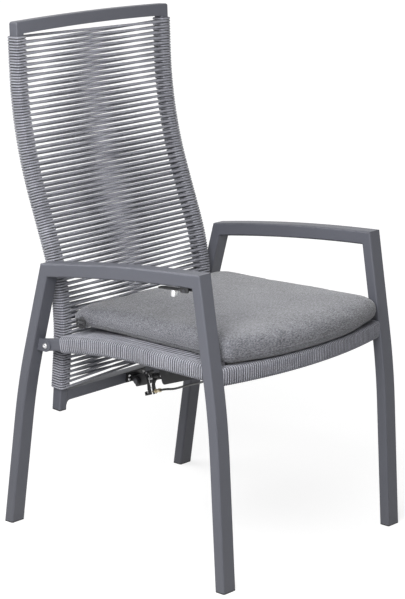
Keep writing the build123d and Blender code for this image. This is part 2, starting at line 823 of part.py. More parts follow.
def channel_hanger(tube_y, tube_z):
    """The strap from the rear cross tube down to the channel's back."""
    back = channel_up + channel_wall
    low = rod_end_z + (back - (tube_y - rod_end_y) * math.sin(spring_lean)) / math.cos(spring_lean)
    low -= hanger_thickness
    strap = Pos(0, tube_y, (tube_z + low) / 2) * Box(hanger_width, hanger_thickness, tube_z - low)
    strap -= cross_tube_bar(tube_y, tube_z, cross_tube / 2)
    channel = (0, channel_mouth + channel_length), (-channel_down, back), both_ways(channel_inside)
    return strap - spring_block(*channel)


def spring_bracket():
    """The folded bracket on the crossrail: a base and two ears for the rod-end pin."""
    frame = stile_frame(0, crossrail_z)
    face = crossrail_depth / 2 + bracket_base / 2
    base = frame * Pos(0, -face, 0) * Box(bracket_flange, bracket_base, bracket_height)
    rear = stile_line.at(crossrail_z)[0] - face
    low, high = crossrail_z - bracket_height / 2, rod_end_z + ear_radius
    bracket = base
    near = head_width / 2 + bracket_ear_gap
    for x in ((-near - bracket_ear, -near), (near, near + bracket_ear)):
        ear = rod_along_x(x[0], x[1], rod_end_y, rod_end_z, ear_radius)
        web = Box(bracket_ear, rear - rod_end_y, high - low)
        bracket += ear + Pos(sum(x) / 2, (rear + rod_end_y) / 2, (high + low) / 2) * web
    bracket -= rod_along_x(-bracket_flange, bracket_flange, rod_end_y, rod_end_z, rod_pin_radius + shaft_gap)
    return bracket - bracket_screw_bars()


def bracket_screw_places():
    frame = stile_frame(0, crossrail_z)
    face = -crossrail_depth / 2 - bracket_base
    for x in both_ways(screw_x):
        for z in both_ways(screw_spacing / 2):
            yield frame * Pos(x, face, z) * Rot(90, 0, 0)


def bracket_screw_bars():
    shank = Pos(0, 0, -screw_depth / 2) * Cylinder(screw_radius, screw_depth)
    return [place * shank for place in bracket_screw_places()]


def bracket_screws():
    """Button-headed screws: heads in front of the base, shanks into the crossrail."""
    shank = Pos(0, 0, -screw_depth / 2) * Cylinder(screw_radius, screw_depth)
    head = Pos(0, 0, screw_head_height / 2) * Cylinder(screw_head_radius, screw_head_height)
    head = fillet(head.edges().group_by(Axis.Z)[-1], screw_head_height * dome_share)
    return [place * (shank + head) for place in bracket_screw_places()]


def cable_points():
    """Every corner of the cable, from the adjuster to its end inside the seat rail."""
    start = spring_frame.from_local_coords(Vector(adjuster_start + adjuster_length, -cable_drop, -cable_x))
    second = start + spring_frame.x_dir * cable_straight
    end = -(rail_x - rail_width / 2) - rail_wall * 2
    last = [(end + cable_last_run, grommet_y, rail_flat_z), (end, grommet_y, rail_flat_z)]
    way = Vector(*last[1]) - start
    route = [start + Vector(way.X * x, way.Y * y, way.Z * z) for x, y, z in cable_route_shares]
    return [start, second] + route + [Vector(*p) for p in last]


def cable_radii(points):
    """The radius of each bend, from the shorter of its two runs and its turn."""
    radii = []
    for a, b, c in zip(points, points[1:], points[2:]):
        half_turn = math.radians((b - a).get_angle(c - b)) / 2
        radii.append(cable_bend_share * min((b - a).length, (c - b).length) / math.tan(half_turn))
    return radii


def cable():
    points = cable_points()
    radii = cable_radii(points)
    runs = [(b - a).length for a, b in zip(points, points[1:])]
    print("cable runs", [round(r, 1) for r in runs])
    print("cable bend radii", [round(r, 1) for r in radii], "least", round(min(radii), 1))
    path = FilletPolyline(*points, radius=radii)
    print("cable length", round(path.length, 1))
    start = Plane(origin=path @ 0, z_dir=path % 0)
    return sweep(start * Circle(cable_radius), path=path)


def grommet():
    """The rubber grommet in the seat rail's inner face, under the rope."""
    wall = -(rail_x - rail_width / 2)
    skin = wall + rope
    flange = rod_along_x(skin, skin + grommet_flange_thickness, grommet_y, rail_flat_z, grommet_flange)
    body = rod_along_x(wall, skin, grommet_y, rail_flat_z, grommet_radius)
    bore = rod_along_x(wall - rope, skin + rope, grommet_y, rail_flat_z, cable_radius + touch_gap)
    return flange + body - bore


def lever_frame(hang, drop):
    """A frame on the lever's line: x rearward along the armrest, z up; drop below its underside."""
    z, slope = arm_underside(lever_pivot_y)
    turn = math.radians(slope - hang)
    along, up = (0, math.cos(turn), math.sin(turn)), (0, -math.sin(turn), math.cos(turn))
    return Plane(origin=(-leg_x, lever_pivot_y, z - drop), x_dir=along, z_dir=up)


def lever_bracket():
    """The folded bracket under the armrest."""
    frame = lever_frame(0, shaft_gap)
    gap = lever_width / 2 + lever_side_gap + lever_bracket_wall / 2
    width = lever_width + lever_side_gap * 2 + lever_bracket_wall * 2
    body = Pos(0, 0, -lever_bracket_wall / 2) * Box(lever_bracket_length, width, lever_bracket_wall)
    for side in both_ways(gap):
        cheek = Box(lever_bracket_length, lever_bracket_wall, lever_bracket_drop)
        body += Pos(0, side, -lever_bracket_drop / 2) * cheek
    corners = [e for e in body.edges() if e.center().Z < touch_gap - lever_bracket_drop / 2
               and abs(e.length - lever_bracket_wall) < touch_gap]
    body = frame * fillet(corners, lever_barrel)
    pivot = lever_frame(0, lever_drop).origin
    return body - rod_along_x(-leg_x - width, width - leg_x, pivot.Y, pivot.Z, lever_pin_radius)


def hand_lever():
    """The blade with its barrel, under the right armrest."""
    frame = lever_frame(lever_hang, lever_drop)
    blade = Pos(lever_length / 2, 0, 0) * Box(lever_length, lever_width, lever_thickness)
    blade = fillet(blade.edges().filter_by(Axis.Z).group_by(Axis.X)[-1], lever_width / 3)
    barrel = Rot(90, 0, 0) * Cylinder(lever_barrel, lever_width)
    return frame * (blade + barrel - Rot(90, 0, 0) * Cylinder(lever_pin_radius + shaft_gap, lever_width))


def lever_pin():
    half = lever_width / 2 + lever_side_gap + lever_bracket_wall
    pivot = lever_frame(0, lever_drop).origin
    pin = rod_along_x(-leg_x - half - touch_gap, half + touch_gap - leg_x, pivot.Y, pivot.Z, lever_pin_radius)
    near, far = half + touch_gap, half + touch_gap + lever_side_gap * 2
    for side in (-1, 1):
        pin += rod_along_x(side * near - leg_x, side * far - leg_x, pivot.Y, pivot.Z, lever_barrel)
    return pin


def lever_knob():
    """The turned knob that hangs under the blade."""
    frame = lever_frame(lever_hang, lever_drop)
    knob = Pos(knob_reach, 0, -lever_thickness / 2 - knob_length / 2) * Cylinder(knob_radius, knob_length)
    return frame * fillet(knob.edges().filter_by(GeomType.CIRCLE), knob_edge)


def cushion_outline(share):
    """The cushion's outline in plan, about its own middle, drawn in at its sides and bowed at the front."""
    half, depth = cushion_width / 2 * share, (cushion_rear_y - cushion_front_y) / 2 * share
    draw, bow = cushion_draw * share, cushion_bow * share
    outline = [
        ThreePointArc((-half, -depth), (0, -depth - bow), (half, -depth)),
        ThreePointArc((half, -depth), (half - draw, 0), (half, depth)),
        ThreePointArc((half, depth), (0, depth - draw), (-half, depth)),
        ThreePointArc((-half, depth), (draw - half, 0), (-half, -depth)),
    ]
    face = make_face([edge for piece in outline for edge in piece.edges()])
    return fillet(face.vertices(), cushion_corner * share)


def cushion_level(rise, tilt):
    """A frame across the cushion, its y axis forward, at one height and tilt."""
    turn = math.radians(tilt)
    y = (cushion_rear_y + cushion_front_y) / 2
    z = seat_top + cushion_lift + rise
    return Plane(origin=(0, y, z), x_dir=(1, 0, 0), z_dir=(0, math.sin(turn), math.cos(turn)))


def cushion():
    """The soft cushion: a loft of outlines from its flat underside to the crown."""
    levels = []
    for rise, share in cushion_level_shares:
        levels.append(cushion_level(cushion_edge * rise, cushion_tilt * rise) * cushion_outline(share))
    for rise, share in cushion_crown_shares:
        place = cushion_level(cushion_edge + cushion_crown * rise, cushion_tilt)
        levels.append(place * cushion_outline(share))
    return loft(levels, ruled=True)


def cushion_clip(side):
    """A ring buckle on its strap, on the cushion's side near a rear corner."""
    x = side * (cushion_width / 2 - clip_seat)
    y = cushion_rear_y - clip_setback
    frame = Plane(origin=(x, y, seat_top + clip_rise), x_dir=(0, side, 0), z_dir=(side, 0, 0))
    ring = RectangleRounded(clip_width, clip_length, clip_length / 3)
    inner = clip_width - clip_bar * 2, clip_length - clip_bar * 2
    ring -= RectangleRounded(*inner, clip_length / 3 - clip_bar / 2)
    buckle = extrude(frame * ring, clip_thickness)
    lift = Pos(0, (clip_length + clip_strap_length) / 2 - clip_bar * 2, clip_strap_thickness / 2)
    strap = frame * lift * Box(clip_strap_width, clip_strap_length, clip_strap_thickness)
    return buckle + strap


def save_frame():
    """Writes both side frames, the seat rails and the lugs."""
    front_leg, rear_leg, arm, glides, front_bar, rear_bar = side_frame()
    rail = seat_rail(front_bar, rear_bar)
    lug = pivot_lug(rear_bar)
    skin = rail_width / 2 - rail_x + rope
    cable_hole = rod_along_x(-rail_x, skin, grommet_y, rail_flat_z, cable_radius + cable_hole_gap)
    for shape, node in ((front_leg, "front_leg"), (rear_leg, "rear_leg"), (arm, "armrest")):
        save(shape, f"left_{node}")
        save(mirrored(shape), f"right_{node}")
    save(rail, "left_seat_rail")
    save(mirrored(rail) - cable_hole, "right_seat_rail")
    save(glides + [mirrored(g) for g in glides], "foot_glides")
    save([lug, mirrored(lug)], "pivot_lugs")


def save_seat():
    """Writes the front rail, the cross tubes and the rope of the seat."""
    rail, skin = front_rail()
    save(rail, "front_seat_rail")
    save(skin, "front_rail_winding")
    rear_z = cross_tube_height(rear_cross_y)
    front_z = front_cross_z
    holes = []
    places = (rear_cross_y, rear_z, "rear_cross_tube"), (front_cross_y, front_z, "front_cross_tube")
    for y, z, node in places:
        bar = cross_tube_bar(y, z, cross_tube / 2)
        holes.append(cross_tube_bar(y, z, cross_tube / 2 + running_gap))
        save(bar - cross_tube_bar(y, z, cross_tube / 2 - cross_tube_wall), node)
    wall = -(rail_x - rail_width / 2)
    holes.append(rod_along_x(wall, wall + rope * 2, grommet_y, rail_flat_z, grommet_radius + touch_gap))
    save(seat_winding(holes), "seat_winding")
    save(spring_channel(cross_tube_bar(front_cross_y, front_z, cross_tube / 2)), "spring_channel")
    save(channel_hanger(rear_cross_y, rear_z), "channel_hanger")
    print("front cross tube", round(front_cross_y, 1), round(front_z, 1))


def save_back():
    """Writes the backrest and its pivot."""
    left = stile()
    cap, bush, bolt, nut = stile_cap(), pivot_bush(), pivot_bolt(), pivot_nut()
    save(left, "left_stile")
    save(mirrored(left), "right_stile")
    save([cap, mirrored(cap)], "stile_caps")
    save(top_rail(), "top_rail")
    save(crossrail() - bracket_screw_bars(), "bottom_crossrail")
    save(back_winding(), "backrest_winding")
    save([bush, mirrored(bush)], "pivot_bushes")
    save([bolt, mirrored(bolt)], "pivot_bolts")
    save([nut, mirrored(nut)], "pivot_nuts")
    save(spring_bracket(), "spring_bracket")
    save(bracket_screws(), "bracket_screws")
    ear_outside = head_width / 2 + bracket_ear_gap + bracket_ear
    save(headed_pin(0, ear_outside, rod_pin_radius, pin_head_radius, pin_head_height), "rod_end_pin")


def save_spring():
    """Writes the gas spring and the release parts on its rod."""
    save(gas_cylinder(), "gas_cylinder")
    channel_outside = channel_inside / 2 + channel_wall
    pin = headed_pin(spring_pin_u, channel_outside, spring_pin_radius, pin_head_radius, pin_head_height)
    save(pin, "spring_pin")
    save(piston_rod(), "gas_rod")
    save(release_head(), "release_head")
    save(rod_sleeve(), "rod_sleeve")
    save(rod_nut(), "rod_nut")
    save(cable_plate_piece(), "cable_plate")
    save(cable_adjuster(), "cable_adjuster")
    save(release_arm(), "release_arm")
    ends = both_ways(head_width / 2 + running_gap)
    save(spring_pin_bar(arm_pin_u, arm_pin_lift, ends, arm_pin_radius), "arm_pin")
    nipple, wire = wire_and_nipple()
    save(nipple, "wire_nipple")
    save(wire, "release_wire")
    save(cable(), "release_cable")
    save(grommet(), "cable_grommet")


def save_trim():
    """Writes the hand lever, the cushion and its clips."""
    save(lever_bracket(), "lever_bracket")
    save(hand_lever(), "hand_lever")
    save(lever_pin(), "lever_pin")
    save(lever_knob(), "lever_knob")
    save(cushion(), "seat_cushion")
    save([cushion_clip(-1), cushion_clip(1)], "cushion_clips")


# Places across the chair
leg_x = overall_width / 2 - leg_width / 2
rail_x = overall_width / 2 - leg_width + rail_width / 2
back_width = overall_width - (leg_width + back_side_gap) * 2
stile_x = back_width / 2 - stile_width / 2
cushion_width = overall_width - (leg_width + cushion_side_gap) * 2

# Lines that the legs, the stiles and the seat rails follow, and what lies along them
arm_mid_height = arm_rear_height + arm_mid_rise
arm_front_height = arm_rear_height + arm_front_rise
front_foot_y = leg_depth / 2 / math.cos(math.radians(front_leg_foot_angle)) - front_reach
front_top = arm_front_height + leg_depth
rear_top = arm_rear_height + leg_depth
front_leg_line = leg_line(
    front_foot_y, front_leg_foot_angle, front_bend_low, front_bend_rise, front_leg_top_angle, front_top
)
rear_leg_line = leg_line(
    rear_leg_foot_y, rear_leg_foot_angle, rear_bend_low, rear_bend_rise, rear_leg_top_angle, rear_top
)
arm_front_y = front_leg_line.at(arm_front_height)[0] - arm_front_overhang
arm_rear_y = rear_leg_line.at(arm_rear_height)[0] + arm_rear_overhang
arm_mid_y = (arm_front_y + arm_rear_y) / 2 + arm_mid_forward
lever_pivot_y = arm_front_y + lever_setback

stile_line = SideLine(stile_foot_z, stile_foot_y, stile_foot_angle).run(stile_low_run)
stile_line.bend(stile_low_bend, stile_mid_angle)
stile_upper = back_height - top_rail_height - stile_line.main
stile_line.run(stile_upper * stile_mid_share).bend(stile_upper * stile_high_share, stile_top_angle)
stile_line.run(back_height - top_rail_height - stile_line.main)

pivot_y = stile_line.at(pivot_z)[0]
pivot_hole = pivot_shank / 2 + shaft_gap
rail_front_y = front_leg_line.at(rail_flat_z)[0]
front_rail_z = rail_flat_z - front_rail_drop
rail_line = SideLine(rail_front_y, rail_flat_z, 0)
rail_line.run(rail_bend_front_y - rail_line.main).bend(rail_bend_run, rail_rear_angle)
rail_line.run(rear_leg_line.at(pivot_z)[0] - rail_line.main)
seat_top = rail_flat_z + rail_height / 2 + rope
cushion_front_y = rail_front_y - cushion_front_overhang
cushion_rear_y = pivot_y - cushion_rear_gap

rod_end_y = pivot_y + rod_end_back
rod_end_z = pivot_z - rod_end_drop
arm_pin_u = arm_plate_start + arm_plate / 2

# The gas spring lies along the chord that its rod-end pin travels as the backrest reclines
spring_lean = math.atan2(-rod_end_back, rod_end_drop) + math.radians(recline_range / 2)
spring_stroke = math.hypot(rod_end_back, rod_end_drop) * math.sin(math.radians(recline_range / 2)) * 2
spring_ahead = 0, -math.cos(spring_lean), math.sin(spring_lean)
spring_frame = Plane(origin=(0, rod_end_y, rod_end_z), x_dir=spring_ahead, z_dir=(-1, 0, 0))
front_cross_y, front_cross_z = front_cross_place()
grommet_y = rail_front_y + (front_cross_y - rail_front_y) * grommet_share
cylinder_start = sleeve_start + sleeve_length + spring_stroke + cylinder_start_gap
spring_pin_u = cylinder_start + cylinder_length + cylinder_eye_reach

print("pivot", round(pivot_y, 3), pivot_z, "rod end", round(rod_end_y, 3), rod_end_z)
print("spring lean", round(math.degrees(spring_lean), 4), "stroke", round(spring_stroke, 3))
print("spring forward", spring_frame.x_dir)
print("arm pin", spring_frame.from_local_coords(Vector(arm_pin_u, arm_pin_lift, 0)))
print("lever pivot", lever_frame(0, lever_drop).origin)

save_frame()
save_seat()
save_back()
save_spring()
save_trim()
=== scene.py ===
import math
import random

import bmesh
import bpy
from mathutils import Matrix, Vector


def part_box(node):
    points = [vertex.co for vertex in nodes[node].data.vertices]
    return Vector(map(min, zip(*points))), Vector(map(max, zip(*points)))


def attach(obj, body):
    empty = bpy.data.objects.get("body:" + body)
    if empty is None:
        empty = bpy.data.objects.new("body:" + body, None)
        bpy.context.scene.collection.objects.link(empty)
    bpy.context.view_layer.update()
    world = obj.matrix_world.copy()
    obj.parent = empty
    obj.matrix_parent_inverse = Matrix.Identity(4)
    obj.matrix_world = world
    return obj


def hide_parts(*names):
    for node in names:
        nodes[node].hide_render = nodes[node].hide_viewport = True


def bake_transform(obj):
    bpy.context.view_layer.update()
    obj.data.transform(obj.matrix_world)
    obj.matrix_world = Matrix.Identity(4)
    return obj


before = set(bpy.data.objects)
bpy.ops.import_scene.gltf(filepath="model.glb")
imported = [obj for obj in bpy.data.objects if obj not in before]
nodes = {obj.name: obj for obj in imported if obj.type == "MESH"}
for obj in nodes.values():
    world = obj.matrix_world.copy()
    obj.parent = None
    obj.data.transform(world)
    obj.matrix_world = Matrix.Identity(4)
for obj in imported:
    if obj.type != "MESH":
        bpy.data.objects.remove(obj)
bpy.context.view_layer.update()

# The view. The chair stands with its right front towards a long lens, a little above armrest height.
tripod = bpy.data.objects.new("viewpoint", bpy.data.cameras.new("viewpoint"))
tripod.data.sensor_width = 36.0
tripod.data.lens = 137.1
tripod.data.shift_x = 0.0187
tripod.data.shift_y = 0.0041
tripod.data.clip_end = 60.0
tripod.location = (-3.6354, -3.1848, 1.7555)
tripod.rotation_euler = [math.radians(a) for a in (75.476, -0.7461, -48.4051)]
bpy.context.collection.objects.link(tripod)
bpy.context.scene.camera = tripod
bpy.context.scene.view_settings.view_transform = "Standard"


# The release cable. A thin black Bowden cable runs from the brass adjuster under the seat, across to the
# right seat rail, and through a rubber grommet into it. It has a plastic jacket over a wound wire.
class Signal:
    """One output inside a finish; arithmetic on it adds Math nodes."""

    def __init__(self, paint, socket):
        self.paint, self.socket = paint, socket

    def sum_with(self, kind, a, b=0.0):
        return self.paint.add("ShaderNodeMath", {"operation": kind}, {0: a, 1: b})

    def __add__(self, other):
        return self.sum_with("ADD", self, other)

    __radd__ = __add__

    def __mul__(self, other):
        return self.sum_with("MULTIPLY", self, other)

    __rmul__ = __mul__

    def __sub__(self, other):
        return self.sum_with("SUBTRACT", self, other)

    def __rsub__(self, other):
        return self.sum_with("SUBTRACT", other, self)

    def __abs__(self):
        return self.sum_with("ABSOLUTE", self)

    def wave(self):
        return self.sum_with("SINE", self)

    def ramp(self, low, high):
        """0 below low, 1 above high, and smooth between them."""
        settings = {"interpolation_type": "SMOOTHSTEP"}
        return self.paint.add("ShaderNodeMapRange", settings, {0: self, 1: low, 2: high})

    def split(self):
        return [self.paint.add("ShaderNodeSeparateXYZ", {}, {0: self}, output=i) for i in range(3)]


class Paint:
    """A finish being mixed: its material, and one method that adds any node behind it."""

    def __init__(self, name, colour, roughness, metallic=0.0):
        self.material = bpy.data.materials.new(name)
        self.material.use_nodes = True
        self.tree = self.material.node_tree
        self.shader = self.tree.nodes["Principled BSDF"]
        self.set("Base Color", (*colour, 1.0))
        self.set("Roughness", roughness)
        self.set("Metallic", metallic)

    def add(self, kind, settings, inputs, output=0):
        node = self.tree.nodes.new(kind)
        for key, value in settings.items():
            setattr(node, key, value)
        for key, value in inputs.items():
            self.link(node.inputs[key], value)
        return Signal(self, node.outputs[output])

    def link(self, socket, value):
        if isinstance(value, Signal):
            self.tree.links.new(value.socket, socket)
        else:
            socket.default_value = value

    def set(self, name, value):
        self.link(self.shader.inputs[name], value)

    def place(self):
        return self.add("ShaderNodeTexCoord", {}, {}, output="Object")

    def noise(self, scale, detail=2.0, stretch=(1.0, 1.0, 1.0)):
        moved = self.add("ShaderNodeMapping", {}, {0: self.place(), "Scale": stretch})
        return self.add("ShaderNodeTexNoise", {}, {"Vector": moved, "Scale": scale, "Detail": detail})

    def blend(self, mask, first, second):
        """first where the mask is 0 and second where it is 1; each a colour or a signal."""
        first, second = [(*c, 1.0) if isinstance(c, tuple) and len(c) == 3 else c for c in (first, second)]
        return self.add("ShaderNodeMix", {"data_type": "RGBA"}, {0: mask, 6: first, 7: second}, output=2)

    def bump(self, height, strength, distance):
        inputs = {"Height": height, "Strength": strength, "Distance": distance}
        self.set("Normal", self.add("ShaderNodeBump", {}, inputs))


def jacket(name, colour, roughness):
    """Extruded plastic: a faint mottle and a fine drawn grain."""
    paint = Paint(name, colour, roughness)
    mottle = paint.noise(220.0, 3.0)
    paint.set("Base Color", paint.blend(mottle, colour, tuple(c * 1.7 + 0.004 for c in colour)))
    paint.set("Roughness", mottle * 0.16 + (roughness - 0.08))
    paint.bump(paint.noise(1500.0, 1.0), 0.12, 0.0002)
    return paint.material


def coat(finish, *names):
    """Gives CAD pieces their finish."""
    for name in names:
        nodes[name].material_slots[0].material = finish


def shaped(name, source, finish, body, smooth=True):
    """Puts a finished bmesh or mesh into the scene as one piece that moves with a body."""
    if isinstance(source, bmesh.types.BMesh):
        mesh = bpy.data.meshes.new(name)
        source.to_mesh(mesh)
        source.free()
    else:
        mesh = source
    mesh.materials.clear()
    mesh.materials.append(finish)
    mesh.shade_smooth() if smooth else mesh.shade_flat()
    piece = bpy.data.objects.new(name, mesh)
    bpy.context.collection.objects.link(piece)
    if body:
        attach(piece, body)
    return piece


def smooth_route(name, points, radius):
    """A smooth open line shaped by its points, as a round bar of that radius."""
    line = bpy.data.curves.new(name, "CURVE")
    line.dimensions = "3D"
    line.resolution_u = 14
    line.bevel_depth = radius
    line.bevel_resolution = 3
    line.use_fill_caps = True
    spline = line.splines.new("NURBS")
    spline.points.add(len(points) - 1)
    for point, spot in zip(spline.points, points):
        point.co = (*spot, 1.0)
    spline.order_u = 3
    spline.use_endpoint_u = True
    holder = bpy.data.objects.new(name, line)
    bpy.context.collection.objects.link(holder)
    return holder


def as_mesh(holder):
    """The mesh of a shown object with its modifiers, or of a curve; the object itself is removed."""
    seen = holder.evaluated_get(bpy.context.evaluated_depsgraph_get())
    mesh = bpy.data.meshes.new_from_object(seen)
    bpy.data.objects.remove(holder)
    return mesh


cable_radius = 0.0025
cable_points = [
    (-0.0140, 0.0963, 0.2854),
    (-0.0140, 0.0813, 0.2909),
    (-0.0200, 0.0520, 0.2980),
    (-0.0370, 0.0150, 0.3140),
    (-0.0620, -0.0280, 0.3330),
    (-0.0920, -0.0730, 0.3520),
    (-0.1260, -0.1180, 0.3710),
    (-0.1610, -0.1590, 0.3890),
    (-0.1950, -0.1940, 0.4050),
    (-0.2133, -0.2110, 0.4193),
    (-0.2268, -0.2260, 0.4415),
    (-0.2460, -0.2320, 0.4545),
    (-0.2656, -0.2320, 0.4545),
]
cable_line = as_mesh(smooth_route("cable_line", cable_points, 0.0))
jacket_black = jacket("cable_jacket_black", (0.012, 0.012, 0.013), 0.55)
cable_skin = as_mesh(smooth_route("cable", cable_points, cable_radius))
cable = shaped("cable_jacket", cable_skin, jacket_black, None)
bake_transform(cable)
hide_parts("release_cable")
coat(jacket("grommet_rubber", (0.02, 0.02, 0.02), 0.6), "cable_grommet")


# The side frames, seat rails, cross tubes and backrest frame. Aluminium tube, bent, mitred and welded, then
# powder coated in a fine matt anthracite that is a little coarse to the touch.
coat_dark = (0.092, 0.095, 0.113)
coat_light = (0.117, 0.121, 0.142)


def powder_coat(name, dark, light, roughness):
    """Fine powder coat: orange-peel grain, slow colour drift, and a dull dusting near the floor."""
    paint = Paint(name, dark, roughness)
    grain = paint.noise(2100.0, 1.0)
    drift = paint.noise(7.0, 3.0)
    dust = 1.0 - paint.place().split()[2].ramp(0.0, 0.16)
    tone = paint.blend((drift - 0.3) * 0.9 + (grain - 0.5) * 0.5, dark, light)
    paint.set("Base Color", paint.blend(dust * drift * 0.15, tone, (0.17, 0.165, 0.16)))
    paint.set("Roughness", grain * 0.14 + drift * 0.08 + (roughness - 0.1))
    paint.set("Specular IOR Level", 0.32)
    paint.bump(grain + paint.noise(420.0, 2.0) * 0.6, 0.22, 0.00035)
    return paint.material


anthracite = powder_coat("anthracite_coat", coat_dark, coat_light, 0.42)
coat(anthracite, "left_front_leg", "right_front_leg", "left_rear_leg", "right_rear_leg", "left_armrest",
     "right_armrest", "left_seat_rail", "right_seat_rail", "front_seat_rail", "rear_cross_tube",
     "front_cross_tube", "pivot_lugs", "left_stile", "right_stile", "top_rail", "bottom_crossrail")


def weld_ring(radius, bead, ripples):
    """A weld bead round a tube that stands along X, with the ripple of its puddles."""
    ring = bmesh.new()
    start = Matrix.Translation((0, 0, radius)) @ Matrix.Rotation(math.radians(90), 4, "X")
    bead_edge = bmesh.ops.create_circle(ring, segments=8, radius=bead, matrix=start)["verts"]
    rim = list({e for v in bead_edge for e in v.link_edges})
    bmesh.ops.spin(ring, geom=bead_edge + rim, cent=(0, 0, 0), axis=(1, 0, 0), angle=math.tau,
                   steps=ripples * 4, use_merge=True)
    for v in ring.verts:
        turn = math.atan2(v.co.y, v.co.z)
        out = math.hypot(v.co.y, v.co.z)
        v.co.yz = v.co.yz * (1 + bead * 0.16 * math.sin(turn * ripples) / out)
    bmesh.ops.recalc_face_normals(ring, faces=ring.faces)
    return ring


def add_copy(whole, part, matrix):
    """Adds a copy of a mesh to a bmesh, placed by a matrix."""
    count = len(whole.verts)
    whole.from_mesh(part)
    whole.verts.ensure_lookup_table()
    bmesh.ops.transform(whole, matrix=matrix, verts=whole.verts[count:])


def held_mesh(source):
    """A bmesh kept as a mesh, to be copied several times."""
    mesh = bpy.data.meshes.new("part")
    source.to_mesh(mesh)
    source.free()
    return mesh


weld_inset = 0.0004
welds = bmesh.new()
tube_weld = held_mesh(weld_ring(radius=0.0125, bead=0.0016, ripples=22))
for tube in ("rear_cross_tube", "front_cross_tube"):
    low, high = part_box(tube)
    middle = [(a + b) / 2 for a, b in zip(low, high)]
    for x in (low[0] + weld_inset, high[0] - weld_inset):
        add_copy(welds, tube_weld, Matrix.Translation((x, middle[1], middle[2])))
weld_piece = shaped("cross_tube_welds", welds, anthracite, "frame")


# The rope windings. A round woven cord about 5 mm thick is wound tightly round the stiles and the seat rails,
# and crosses from side to side at every second turn. On the back it runs from the front of one stile to the
# rear of the other and returns the same way, so that the strands cross in the middle.
rope_radius = 0.00268
rope_sides = 8
strand_radius = 0.0030
turn_margin = 0.0028
# A near-black colour for the painted shade between neighbouring turns of rope.
rope_painted_shade = (0.050, 0.051, 0.060)
rope_dark = (0.158, 0.160, 0.187)
rope_light = (0.570, 0.577, 0.640)


def braided_rope(name, painted_shade, dark, light):
    """Woven cord: crossing diagonal strands from the cord's own way attribute, flecks of lighter yarn, and
    a painted shade that darkens the cord where one turn presses on the next."""
    paint = Paint(name, dark, 0.78)
    way = paint.add("ShaderNodeAttribute", {"attribute_name": "rope_way"}, {}, output="Vector")
    across, up, along = way.split()
    turn = paint.add("ShaderNodeMath", {"operation": "ARCTAN2"}, {0: up, 1: across}) * 6.0
    run = along * (math.tau / 0.0052)
    plait = (run + turn).wave() * (run - turn).wave() * 0.5 + 0.5
    fleck = paint.noise(700.0, 2.0)
    drift = paint.noise(26.0, 2.0)
    yarn = plait * 0.45 + (fleck - 0.5) * 0.8 + (drift - 0.5) * 0.4 + 0.12
    # Painted shade: the sides of the cord that face the next turns are blended towards the near-black colour.
    painted_shade_mask = abs(up).ramp(0.28, 0.9)
    paint.set("Base Color", paint.blend(painted_shade_mask, paint.blend(yarn.ramp(0.0, 1.0), dark, light), painted_shade))
    paint.set("Roughness", 0.9 - plait * 0.18)
    paint.set("Sheen Weight", 0.25)
    paint.set("Sheen Roughness", 0.45)
    paint.bump(plait + fleck * 0.3, 0.5, 0.0005)
    return paint.material


rope_grey = braided_rope("woven_rope_grey", rope_painted_shade, rope_dark, rope_light)


def rope_start(whole, matrix, phase=0.0, radius=rope_radius, shade=1.0):
    """A ring of rope section; each point notes its side of the rope and its place along it."""
    way = whole.verts.layers.float_vector.get("rope_way") or whole.verts.layers.float_vector.new("rope_way")
    verts = bmesh.ops.create_circle(whole, segments=rope_sides, radius=radius)["verts"]
    for v in verts:
        # The side along the bar, scaled by shade, sets how much painted shade the finish lays on each point.
        v[way] = Vector((v.co.x / radius, v.co.y / radius * shade, phase))
    bmesh.ops.transform(whole, matrix=matrix, verts=verts)
    return list({e for v in verts for e in v.link_edges})


def carried_on(whole, rim, matrix):
    """Extrudes a rim of edges to a new place; gives the new rim and its points."""
    grown = bmesh.ops.extrude_edge_only(whole, edges=rim)["geom"]
    verts = {g for g in grown if isinstance(g, bmesh.types.BMVert)}
    bmesh.ops.transform(whole, matrix=matrix, verts=list(verts))
    return [g for g in grown if isinstance(g, bmesh.types.BMEdge) and set(g.verts) <= verts], verts


def rope_on(whole, rim, matrix, run):
    """Carries a rope's open end on by one step."""
    way = whole.verts.layers.float_vector["rope_way"]
    rim, verts = carried_on(whole, rim, matrix)
    for v in verts:
        v[way] = v[way] + Vector((0, 0, run))
    return rim


def rope_turn(width, depth, corner):
    """One closed turn of rope round a bar that stands along Z; a short bridge closes it."""
    turn = bmesh.new()
    out = rope_radius
    half_w, half_d, bend = width / 2 + out, depth / 2 + out, corner + out
    flat_w, flat_d, bridge = half_w - bend, half_d - bend, 0.0006
    stand = Matrix.Translation((-half_w, 0, 0)) @ Matrix.Rotation(math.radians(90), 4, "X")
    rim = first = rope_start(turn, stand)
    corner_steps = 3
    corner_angle = math.radians(90 / corner_steps)
    sides = [((0, 1), flat_d), ((1, 0), 2 * flat_w), ((0, -1), 2 * flat_d), ((-1, 0), 2 * flat_w),
             ((0, 1), flat_d - bridge)]
    centres = [(-flat_w, flat_d), (flat_w, flat_d), (flat_w, -flat_d), (-flat_w, -flat_d)]
    for number, ((dx, dy), length) in enumerate(sides):
        rim = rope_on(turn, rim, Matrix.Translation((dx * length, dy * length, 0)), length)
        if number < len(centres):
            hub = Vector((*centres[number], 0))
            step = Matrix.Translation(hub) @ Matrix.Rotation(-corner_angle, 4, "Z") @ Matrix.Translation(-hub)
            for _ in range(corner_steps):
                rim = rope_on(turn, rim, step, bend * corner_angle)
    bmesh.ops.bridge_loops(turn, edges=rim + first)
    bmesh.ops.recalc_face_normals(turn, faces=turn.faces)
    return held_mesh(turn)


